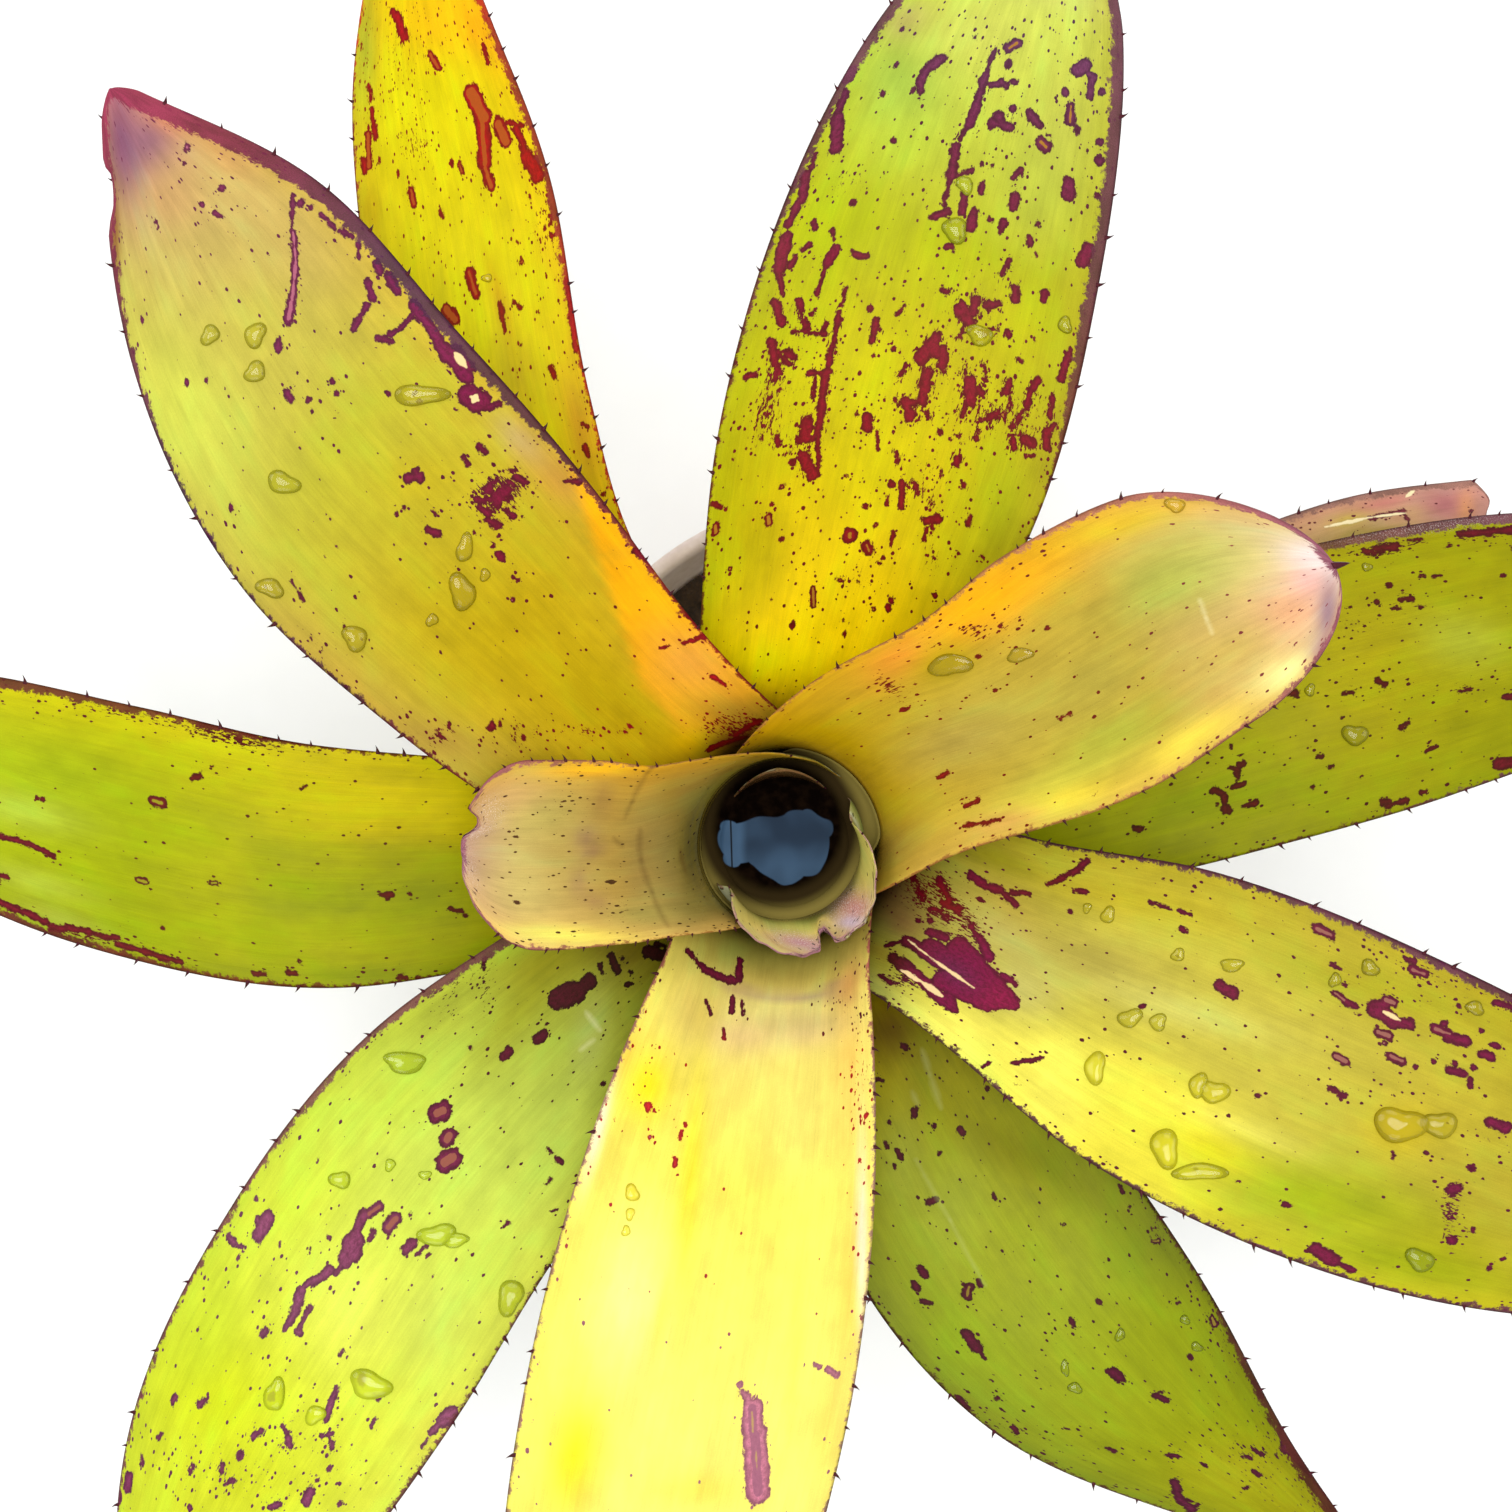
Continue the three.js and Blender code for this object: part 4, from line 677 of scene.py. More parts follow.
     (1445, 505, 26, 16, 0, "#a55e67", 0.8), (1412, 513, 14, 8, 0, "#c09262", 0.6),
     (1370, 533, 40, 6, -8, "#887510", 0.8), (1466, 510, 8, 20, 0, "#d7925a", 0.7)],
     "markHues": [(0, "#541c1d"), (1, "#6f2c3a")],
     "marks": [(1370, 518, 1404, 511, 2.6), (1404, 514, 1408, 520, 2)], "slitColour": "#e7d6a8",
     "slits": [(1325, 527, 1372, 517, 1.7), (1372, 517, 1406, 513, 1.3), (1406, 497, 1414, 491, 1.6)]},
]


def hueAlong(hues, u):  # a colour that runs through the named ones along a leaf
    places = [place for place, _ in hues]
    colours = np.array([linear(text)[:3] for _, text in hues])
    return np.stack([np.interp(u, places, colours[:, k]) for k in range(3)], axis=-1)


def oval(seen, x, y, rx, ry, angle):  # 1 in the middle of an oval in the view, fading to 0 past its edge
    a = math.radians(angle)
    right, down = seen[..., 0] - x, seen[..., 1] - y
    across = (right * math.cos(a) + down * math.sin(a)) / rx
    along = (down * math.cos(a) - right * math.sin(a)) / ry
    return np.exp(-(across ** 2 + along ** 2))


def rightOf(seen, x1, y1, x2, y2, soft, reach):  # 1 to the right of a line in the view, fading out over reach
    length = math.hypot(x2 - x1, y2 - y1)
    dx, dy = (x2 - x1) / length, (y2 - y1) / length
    along = (seen[..., 0] - x1) * dx + (seen[..., 1] - y1) * dy
    side = (seen[..., 1] - y1) * dx - (seen[..., 0] - x1) * dy
    ends = smooth((along + 2 * soft) / (4 * soft)) * smooth((length - along + 2 * soft) / (4 * soft))
    return ends * smooth((side + soft) / (2 * soft)) * np.exp(-(np.maximum(side, 0) / reach) ** 2)


def blend(colour, other, share):
    return colour + (np.asarray(other)[:3] - colour) * np.asarray(share)[..., None]


def painted(tint, seen, patches):  # a tint with ovals of other colours laid over it in turn
    for x, y, rx, ry, angle, text, share in patches:
        tint = blend(tint, linear(text), share * oval(seen, x, y, rx, ry, angle))
    return tint


# ---- materials


class Wiring:  # short calls for adding and joining shader nodes
    def __init__(self, tree):
        self.tree = tree

    def join(self, value, socket):
        self.tree.links.new(value, socket)

    def add(self, kind, values=None, **settings):
        node = self.tree.nodes.new(kind)
        for key, value in settings.items():
            setattr(node, key, value)
        for key, value in (values or {}).items():
            if isinstance(value, bpy.types.NodeSocket):
                self.join(value, node.inputs[key])
            elif value is not None:
                node.inputs[key].default_value = value
        return node

    def maths(self, operation, a, b=None, clamp=False):
        return self.add("ShaderNodeMath", {0: a, 1: b}, operation=operation, use_clamp=clamp).outputs[0]

    def plus(self, a, b):
        return self.maths("ADD", a, b)

    def minus(self, a, b):
        return self.maths("SUBTRACT", a, b)

    def times(self, a, b):
        return self.maths("MULTIPLY", a, b)

    def vector(self, operation, a, b=None, scale=None):
        node = self.add("ShaderNodeVectorMath", {0: a, 1: b, 3: scale}, operation=operation)
        return node.outputs["Value" if operation in ("DOT_PRODUCT", "LENGTH", "DISTANCE") else "Vector"]

    def split(self, value):
        return self.add("ShaderNodeSeparateXYZ", {0: value}).outputs

    def mix(self, share, a, b):
        return self.add("ShaderNodeMix", {0: share, 6: a, 7: b}, data_type="RGBA").outputs[2]

    def ramp(self, value, low, high, start=0.0, end=1.0):  # from start to end as value goes from low to high
        node = self.add("ShaderNodeMapRange", {0: value, 1: low, 2: high, 3: start, 4: end},
                        interpolation_type="SMOOTHSTEP")
        return node.outputs[0]

    def noise(self, place, scale, detail=2.0, rough=0.5):
        values = {"Vector": place, "Scale": scale, "Detail": detail, "Roughness": rough}
        return self.add("ShaderNodeTexNoise", values).outputs

    def cells(self, place, scale):
        return self.add("ShaderNodeTexVoronoi", {"Vector": place, "Scale": scale}).outputs

    def read(self, title, output="Vector"):
        return self.add("ShaderNodeAttribute", attribute_name=title).outputs[output]

    def objectPlace(self):
        return self.add("ShaderNodeTexCoord").outputs["Object"]


def newGroup(name, takes, gives):
    tree = bpy.data.node_groups.new(name, "ShaderNodeTree")
    for direction, sockets in (("INPUT", takes), ("OUTPUT", gives)):
        for title, kind, *value in sockets:
            socket = tree.interface.new_socket(title, in_out=direction, socket_type="NodeSocket" + kind)
            if value:
                socket.default_value = value[0]
    wiring = Wiring(tree)
    return tree, wiring, wiring.add("NodeGroupInput").outputs, wiring.add("NodeGroupOutput").inputs


# The distance to a stroke with round ends. From holds where it starts and its half-width, Span its run to its
# other end and one value more, which comes out as Extra.
def makeStroke():
    tree, w, take, give = newGroup(
        "stroke", [("Place", "Vector"), ("From", "Vector"), ("Span", "Vector")],
        [("Gap", "Float"), ("Width", "Float"), ("Extra", "Float"), ("Along", "Float")])
    start, span = (w.vector("MULTIPLY", take[name], (1, 1, 0)) for name in ("From", "Span"))
    reach = w.vector("SUBTRACT", take["Place"], start)
    square = w.maths("MAXIMUM", w.vector("DOT_PRODUCT", span, span), 0.0001)
    along = w.maths("DIVIDE", w.vector("DOT_PRODUCT", reach, span), square, clamp=True)
    w.join(w.vector("DISTANCE", reach, w.vector("SCALE", span, scale=along)), give["Gap"])
    w.join(along, give["Along"])
    for name, title in (("From", "Width"), ("Span", "Extra")):
        w.join(w.split(take[name])[2], give[title])
    return tree


# Fine parallel veins, mottling, scurf bands below, maroon flecks, marks with pale cores and a maroon rim.
def makeSkin():
    tree, w, take, give = newGroup(
        "leafSkin",
        [("Tint", "Color"), ("Place", "Vector"), ("Rim", "Float"), ("Fleck", "Float"), ("Under", "Float"),
         ("Scurf", "Float"), ("Wet", "Float"), ("Mark", "Float", far), ("Core", "Float", far),
         ("Maroon", "Color"), ("Rim Colour", "Color"), ("Core Colour", "Color"), ("Vein", "Float", 0.2)],
        [("Colour", "Color"), ("Roughness", "Float"), ("Height", "Float"), ("Ragged", "Float")])
    place = take["Place"]

    def grain(stretch, *look):  # noise on the blade, its scale times the two numbers across it and along it
        return w.noise(w.vector("MULTIPLY", place, (*stretch, 0.0)), *look)[0]

    veins = grain((1.0, 0.03), 0.55, 3.0, 0.6)
    fineVeins = grain((1.0, 0.03), 2.4, 1.0)
    mottle = grain((1.0, 0.45), 0.06, 3.0, 0.6)
    patchy = grain((1.0, 0.6), 0.17, 3.0, 0.6)
    grit = w.noise(place, 3.2, 2.0)[0]
    ragged = grain((1.0, 0.7), 1.1, 4.0, 0.7)

    light = w.plus(w.times(w.minus(veins, 0.5), take["Vein"]), 1.0)
    light = w.times(light, w.ramp(fineVeins, 0.2, 0.8, 0.96, 1.04))
    light = w.times(light, w.ramp(mottle, 0.3, 0.7, 0.87, 1.1))
    light = w.times(light, w.ramp(patchy, 0.35, 0.65, 0.95, 1.05))
    light = w.times(light, w.ramp(grit, 0.25, 0.75, 0.95, 1.05))
    colour = w.vector("SCALE", take["Tint"], scale=light)
    greener = w.vector("MULTIPLY", colour, (0.8, 0.97, 1.0))
    greenShare = w.times(w.ramp(mottle, 0.46, 0.66), w.ramp(patchy, 0.3, 0.6, 0.3, 0.8))
    colour = w.mix(greenShare, colour, greener)

    # cross bands of pale scurf on the underside
    bands = grain((0.12, 1.0), 0.22, 3.0, 0.6)
    bandShare = w.times(w.ramp(bands, 0.45, 0.62, 0.0, 0.6), take["Under"])
    colour = w.mix(bandShare, colour, linear(tones["underBands"]))

    # dots: the nearest cell's own random number says whether it has one and how big it is; more of them lie
    # round a mark and along the rim
    near = w.times(w.ramp(take["Mark"], 2.2, 0.0), 0.3)
    near = w.maths("MAXIMUM", near, w.times(w.ramp(take["Rim"], -5.0, -0.5), 0.22))
    often = w.plus(take["Fleck"], near)
    maroonMask = None
    for scale, size, least in ((0.95, 0.34, 0.05), (0.75, 0.3, 0.07), (0.27, 0.25, 0.07)):
        cell = w.cells(w.vector("MULTIPLY", place, (1.0, 0.75, 0.0)), scale)
        pick = w.split(cell["Color"])
        radius = w.times(w.times(pick[1], pick[1]), size)
        radius = w.plus(w.plus(radius, least), w.ramp(ragged, 0.3, 0.7, -0.07, 0.07))
        inside = w.ramp(w.minus(cell["Distance"], radius), 0.04, -0.02)
        chosen = w.maths("LESS_THAN", pick[0], w.times(often, 0.5 if scale < 0.5 else 1.0))
        dots = w.times(inside, chosen)
        maroonMask = dots if maroonMask is None else w.maths("MAXIMUM", maroonMask, dots)
    # streaky spatter where the flecks are dense
    spatter = grain((1.0, 0.28), 1.5, 3.0, 0.65)
    bar = w.ramp(often, 0.12, 1.0, 0.74, 0.5)
    spatter = w.ramp(w.minus(spatter, bar), -0.015, 0.03)
    # marks: a distance, made uneven, dark along their edge
    bend = grain((1.0, 0.7), 0.45, 2.0, 0.5)
    uneven = w.times(w.minus(bend, 0.5), 2.0)
    uneven = w.plus(uneven, w.times(w.minus(ragged, 0.5), 1.7))
    uneven = w.times(uneven, w.ramp(take["Fleck"], 0.3, 0.8, 1.0, 2.4))
    depth = w.plus(take["Mark"], uneven)
    marks = w.ramp(depth, 0.2, -0.14)
    for mask in (spatter, marks):
        maroonMask = w.maths("MAXIMUM", maroonMask, mask)
    shade = w.plus(w.ramp(grit, 0.3, 0.7, 0.8, 1.0), w.ramp(depth, -0.3, -1.1, -0.15, 0.4))
    shade = w.times(shade, w.ramp(ragged, 0.3, 0.7, 0.7, 1.4))
    maroon = w.vector("SCALE", take["Maroon"], scale=shade)
    colour = w.mix(maroonMask, colour, maroon)
    cores = w.ramp(w.plus(take["Core"], w.times(uneven, 0.45)), 0.1, -0.12)
    colour = w.mix(w.times(cores, 0.8), colour, take["Core Colour"])
    w.join(uneven, give["Ragged"])

    # the rim: a band along the margin whose inner side is ragged, darker and paler by turns
    wander = w.times(w.minus(w.noise(place, 0.35, 4.0, 0.75)[0], 0.5), 7.0)
    rim = w.ramp(w.plus(take["Rim"], wander), -0.35, 0.5)
    rim = w.times(rim, w.ramp(take["Rim"], -2.5, -0.3))
    rimLight = w.times(w.ramp(patchy, 0.3, 0.7, 0.75, 1.2), w.ramp(grit, 0.3, 0.7, 0.8, 1.25))
    rimColour = w.vector("SCALE", take["Rim Colour"], scale=rimLight)
    colour = w.mix(w.times(rim, 0.95), colour, rimColour)
    w.join(colour, give["Colour"])

    rough = w.plus(w.ramp(mottle, 0.3, 0.7, 0.36, 0.5), w.times(take["Scurf"], 0.2))
    rough = w.plus(rough, w.times(maroonMask, 0.08))
    w.join(w.minus(rough, w.times(take["Wet"], 0.25)), give["Roughness"])
    height = w.plus(w.times(veins, 0.5), w.times(fineVeins, 0.35))
    w.join(w.plus(height, w.times(grit, 0.12)), give["Height"])
    return tree


strokeGroup = makeStroke()
skinGroup = makeSkin()


def newMaterial(name):
    material = bpy.data.materials.new(name)
    material.use_nodes = True
    material.node_tree.nodes.clear()
    wiring = Wiring(material.node_tree)
    surface = wiring.add("ShaderNodeBsdfPrincipled")
    wiring.add("ShaderNodeOutputMaterial", {"Surface": surface.outputs[0]})
    return material, wiring, surface


markSlots, lineSlots = 3, 2  # how many marks and lines a face of a leaf can show


# A leaf's own material: the marks and lines that its faces hold, and the shared skin.
def leafMaterial(name, look):
    material, w, surface = newMaterial(name)

    place, first, second = (w.split(w.read(title)) for title in ("leafPlace", "looksA", "looksB"))
    flat = w.add("ShaderNodeCombineXYZ", {0: place[2], 1: place[1]}).outputs[0]
    veinPlace = w.add("ShaderNodeCombineXYZ", {0: place[0], 1: place[1]}).outputs[0]

    def stroke(title, slot):
        ends = {"From": w.read(title + "From" + str(slot)), "Span": w.read(title + "Span" + str(slot))}
        return w.add("ShaderNodeGroup", {"Place": flat, **ends}, node_tree=strokeGroup).outputs

    mark = core = far
    for slot in range(markSlots if look.get("marks") else 0):
        found = stroke("mark", slot)
        mark = w.maths("MINIMUM", mark, w.minus(found["Gap"], found["Width"]))
        core = w.maths("MINIMUM", core, w.minus(found["Gap"], found["Extra"]))
    skin = w.add("ShaderNodeGroup", {
        "Tint": w.read("tint", "Color"), "Place": veinPlace, "Rim": first[0], "Fleck": first[1],
        "Under": second[0], "Scurf": second[1], "Wet": second[2], "Mark": mark, "Core": core,
        "Maroon": w.read("markTint", "Color"), "Rim Colour": w.read("rimTint", "Color"),
        "Core Colour": linear(look.get("core", tones["core"])), "Vein": look.get("vein", 0.3)},
        node_tree=skinGroup)
    colour = skin.outputs["Colour"]
    if "scurfZones" in look:
        scurf = w.times(w.ramp(w.noise(veinPlace, 2.6, 3.0, 0.7)[0], 0.5, 0.68), second[1])
        colour = w.mix(scurf, colour, linear(tones["scurf"]))
    uneven = w.times(skin.outputs["Ragged"], 0.4)
    for slot in range(lineSlots if {"slits", "pale", "softMarks"} & set(look) else 0):
        found = stroke("line", slot)
        taper = w.times(w.times(found["Along"], w.minus(1.0, found["Along"])), 4.0)
        width = w.times(found["Width"], w.plus(w.times(taper, 0.7), 0.3))
        inside = w.minus(w.minus(width, found["Gap"]), uneven)
        inside = w.maths("DIVIDE", w.plus(inside, found["Extra"]), w.times(found["Extra"], 2.0), clamp=True)
        share = w.times(inside, w.read("lineTint" + str(slot), "Alpha"))
        colour = w.mix(share, colour, w.read("lineTint" + str(slot), "Color"))
    w.join(colour, surface.inputs["Base Color"])
    w.join(skin.outputs["Roughness"], surface.inputs["Roughness"])
    bump = w.add("ShaderNodeBump", {"Strength": 0.35, "Distance": 0.0004, "Height": skin.outputs["Height"]})
    w.join(bump.outputs[0], surface.inputs["Normal"])
    surface.inputs["Specular IOR Level"].default_value = 0.14
    surface.inputs["Specular Tint"].default_value = (1.0, 0.93, 0.4, 1)
    return material


# ---- building the leaves

# The leaf's closed skin: for each row, the upper points from v = -1 to 1 and then the lower ones back, each
# half a thickness off the middle surface. The rows are joined by quads and both ends are closed across.
def leafShell(leaf, line):
    rows = rowPlaces(leaf, line)
    count = leaf.get("columns", blade["columns"])
    even = np.linspace(-1, 1, count)
    v = 0.45 * even - 0.55 * np.cos(math.pi * (even + 1) / 2)
    s, across = rows[:, None], v[None, :]
    middle = bladeSurface(leaf, line, s, across)
    normal = bladeAxes(leaf, line, s, across)[2]
    thick = halfThickness(v)[None, :, None]
    upper, lower = middle + normal * thick, (middle - normal * thick)[:, -2:0:-1]
    points = np.concatenate([upper, lower], axis=1)
    ring = points.shape[1]
    sides = ringQuads(len(rows), ring)[:, quadTurned]
    k = np.arange(count - 1)
    end = np.stack([k, k + 1, (ring - k - 1) % ring, (ring - k) % ring], axis=-1)
    ends = [end, (end + (len(rows) - 1) * ring)[:, ::-1]]
    faces = [[int(x) for x in dict.fromkeys(face)] for face in np.concatenate([sides, *ends]).tolist()]
    faces = [face for face in faces if len(face) > 2]
    return {"rows": rows, "v": v, "upper": upper, "points": points, "sides": sides, "faces": faces}


# Hooked spines along both margins: each is a cone that starts inside the margin, stands out from it and bends
# towards the tip as the square of the way along it. All of a leaf's spines are worked out at once.
def leafSpines(leaf, line, look, rng):
    size, spacing = look.get("spine", (1.55, 12.0))
    first, last = line["start"] + 0.3 * line["throat"], line["total"] - 0.3 * leaf["cap"]
    places, sides = [], []
    for side in (-1, 1):
        count = max(3, int((last - first) / spacing))
        even = first + (last - first) * (np.arange(count) + 0.25 + 0.25 * (side + 1)) / count
        places.append(even + rng.uniform(-0.3, 0.3, count) * spacing)
        sides.append(np.full(count, side))
    s, side = np.clip(np.concatenate(places), first, line["total"] - 0.5), np.concatenate(sides)
    return hooks(leaf, line, s, side, size * rng.uniform(0.6, 1.1, len(s)), rng)


def hooks(leaf, line, s, side, size, rng):
    tipward, across, normal = bladeAxes(leaf, line, s, side * 0.985)
    outward = unit(np.cross(tipward, normal)) * -side[:, None]
    root = bladeSurface(leaf, line, s, side * 1.0)
    t = np.array([0, 0.16, 0.38, 0.62, 0.84, 1.0])[None, :, None]  # along the spine
    length = size[:, None, None]
    lean = spine["lean"][0] + spine["lean"][1] * rng.uniform(-1, 1, len(s))[:, None, None]
    reach = length * t * (1 + spine["root"]) - spine["root"] * length
    centre = (root[:, None, :] + outward[:, None, :] * reach
              + tipward[:, None, :] * (lean * length * t ** 2))
    angle = np.arange(spine["sides"]) * 2 * math.pi / spine["sides"]
    wide = spine["wide"] * length * (1 - t) ** 1.1 + spine["end"]
    thin = np.minimum(spine["thin"] * length, spine["thickest"]) * (1 - t) ** 0.7 + spine["end"]
    cos, sin = np.cos(angle)[:, None], np.sin(angle)[:, None]
    points = (centre[:, :, None, :] + wide[..., None] * cos * tipward[:, None, None, :]
              + thin[..., None] * sin * normal[:, None, None, :])
    faces = coneFaces(side > 0, t.size, spine["sides"])
    return points.reshape(-1, 3), faces, np.broadcast_to(t, points.shape[:3]).ravel()


def coneFaces(turned, rings, sides):  # closed cones of rings; turned says which run round leftwards
    base = (np.arange(len(turned)) * rings * sides)[:, None]
    quads = base[..., None] + ringQuads(rings, sides)
    quads[~turned] = quads[~turned][..., ::-1]
    ends = base + np.array([np.arange(sides)[::-1], np.arange(sides) + (rings - 1) * sides])[:, None]
    ends[:, ~turned] = ends[:, ~turned][..., ::-1]
    return quads.reshape(-1, 4).tolist() + ends.reshape(-1, sides).tolist()


# The point at a blade's end: a cone that runs on from the tip and bends down as the square of the way along.
def tipSpine(leaf, line, size):
    place = np.array([line["total"] - 0.6]), np.zeros(1)
    tipward, across, normal = bladeAxes(leaf, line, *place)
    rings, sides = 6, spine["sides"]
    t = np.linspace(0, 1, rings)[:, None, None]
    angle = (np.arange(sides) * 2 * math.pi / sides)[None, :, None]
    wide = 0.24 * size * (1 - t) ** 0.8 + 0.05
    points = bladeSurface(leaf, line, *place) + size * (tipward * t - normal * 0.25 * t ** 2)
    points = points + wide * (across * np.cos(angle) + normal * np.sin(angle))
    faces = coneFaces(np.array([True]), rings, sides)
    return points.reshape(-1, 3), faces, np.broadcast_to(t, (rings, sides, 1)).ravel() * 0.4


# Finds the place on a leaf that shows at a place in the view: the nearest grid point, then one linear step.
def leafPlaceAt(seen, places, x, y):
    gap = np.hypot(seen[..., 0] - x, seen[..., 1] - y)
    i, j = np.unravel_index(np.argmin(gap), gap.shape)
    i, j = min(max(i, 1), gap.shape[0] - 2), min(max(j, 1), gap.shape[1] - 2)
    views = np.stack([seen[i + 1, j] - seen[i - 1, j], seen[i, j + 1] - seen[i, j - 1]], axis=1)
    step = np.linalg.lstsq(views, np.array([x, y]) - seen[i, j], rcond=None)[0]
    step = np.clip(step, -3, 3)
    return places[i, j] + step[0] * (places[i + 1, j] - places[i - 1, j]) + step[1] * (
        places[i, j + 1] - places[i, j - 1])


# The strokes nearest to each face's middle, as many as there are slots. A stroke is where it starts, its run
# to its other end, its half-width and any values more.
def nearestStrokes(middles, strokes, slots):
    never = [-999.0, -999.0, 0.0, 0.0, -far, -far, 0, 0, 0, 0]
    strokes = np.array([(list(stroke) + [0, 0, 0, 0])[:10] for stroke in strokes] + [never] * slots, float)
    reach = middles[:, None, :] - strokes[None, :, :2]
    span = strokes[None, :, 2:4]
    along = np.clip((reach * span).sum(2) / np.maximum((span ** 2).sum(2), 0.0001), 0, 1)
    gap = np.linalg.norm(reach - span * along[..., None], axis=2) - strokes[:, 4]
    return strokes[np.argsort(gap, axis=1)[:, :slots]]


# A blade's colour: its hues and margins, then patches, painted light and shade along soft lines, more
# patches, and painted shade in the well.
def leafTint(look, u, v, seen, fromAxis, height):
    tint = hueAlong(look["hues"], u)
    for side, text in zip((-1, 1), look["sides"]):
        tint = blend(tint, linear(text), 0.8 * np.clip(v * side, 0, 1) ** 2.5 * smooth(5 * u))
    tint = painted(tint, seen, look.get("patches", []))
    # Painted light and shade: each line lightens or darkens what lies to its right, as its colour says.
    for x1, y1, x2, y2, soft, reach, text, share in look.get("paintedLightAndShade", []):
        tint = blend(tint, linear(text), share * rightOf(seen, x1, y1, x2, y2, soft, reach))
    tint = painted(tint, seen, look.get("topPatches", []))
    # Painted shade: near the axis and below the throat the tint darkens towards the well's colour, where the
    # well is in shade.
    dark, light = look.get("well", (15, 25))
    paintedWellShade = smooth((light - fromAxis) / (light - dark)) * smooth((252 - height) / 22)
    return blend(tint, linear(tones["well"]), look.get("wellShare", 0.8) * paintedWellShade)


# The marks and the lines, moved from the view to the blade. Each is where it starts, its run and its
# half-width. A mark adds its core's half-width, and a line its softness, colour and share.
def placedStrokes(look, seen, places, scale):
    marks, lines = [], []
    slit, pale = look.get("slitColour", tones["slit"]), look.get("paleColour", tones["pale"])
    for key, *finish in (("marks",), ("softMarks", 0.9, *hueAlong(look["markHues"], 0.5), 0.45),
                         ("slits", 0.14, *linear(slit)[:3], 1.0), ("pale", 0.8, *linear(pale)[:3], 0.35)):
        for values in look.get(key, []):
            spot = len(values) < 5
            start = leafPlaceAt(seen, places, *values[:2])[[2, 1]]
            end = start if spot else leafPlaceAt(seen, places, *values[2:4])[[2, 1]]
            width, *core = values[2:] if spot else values[4:]
            run = (*start, *(end - start), width * scale)
            if key == "marks":
                marks.append((*run, core[0] * 1.5 * scale if core else -far))
            else:
                lines.append((*run, *finish))
    return marks, lines


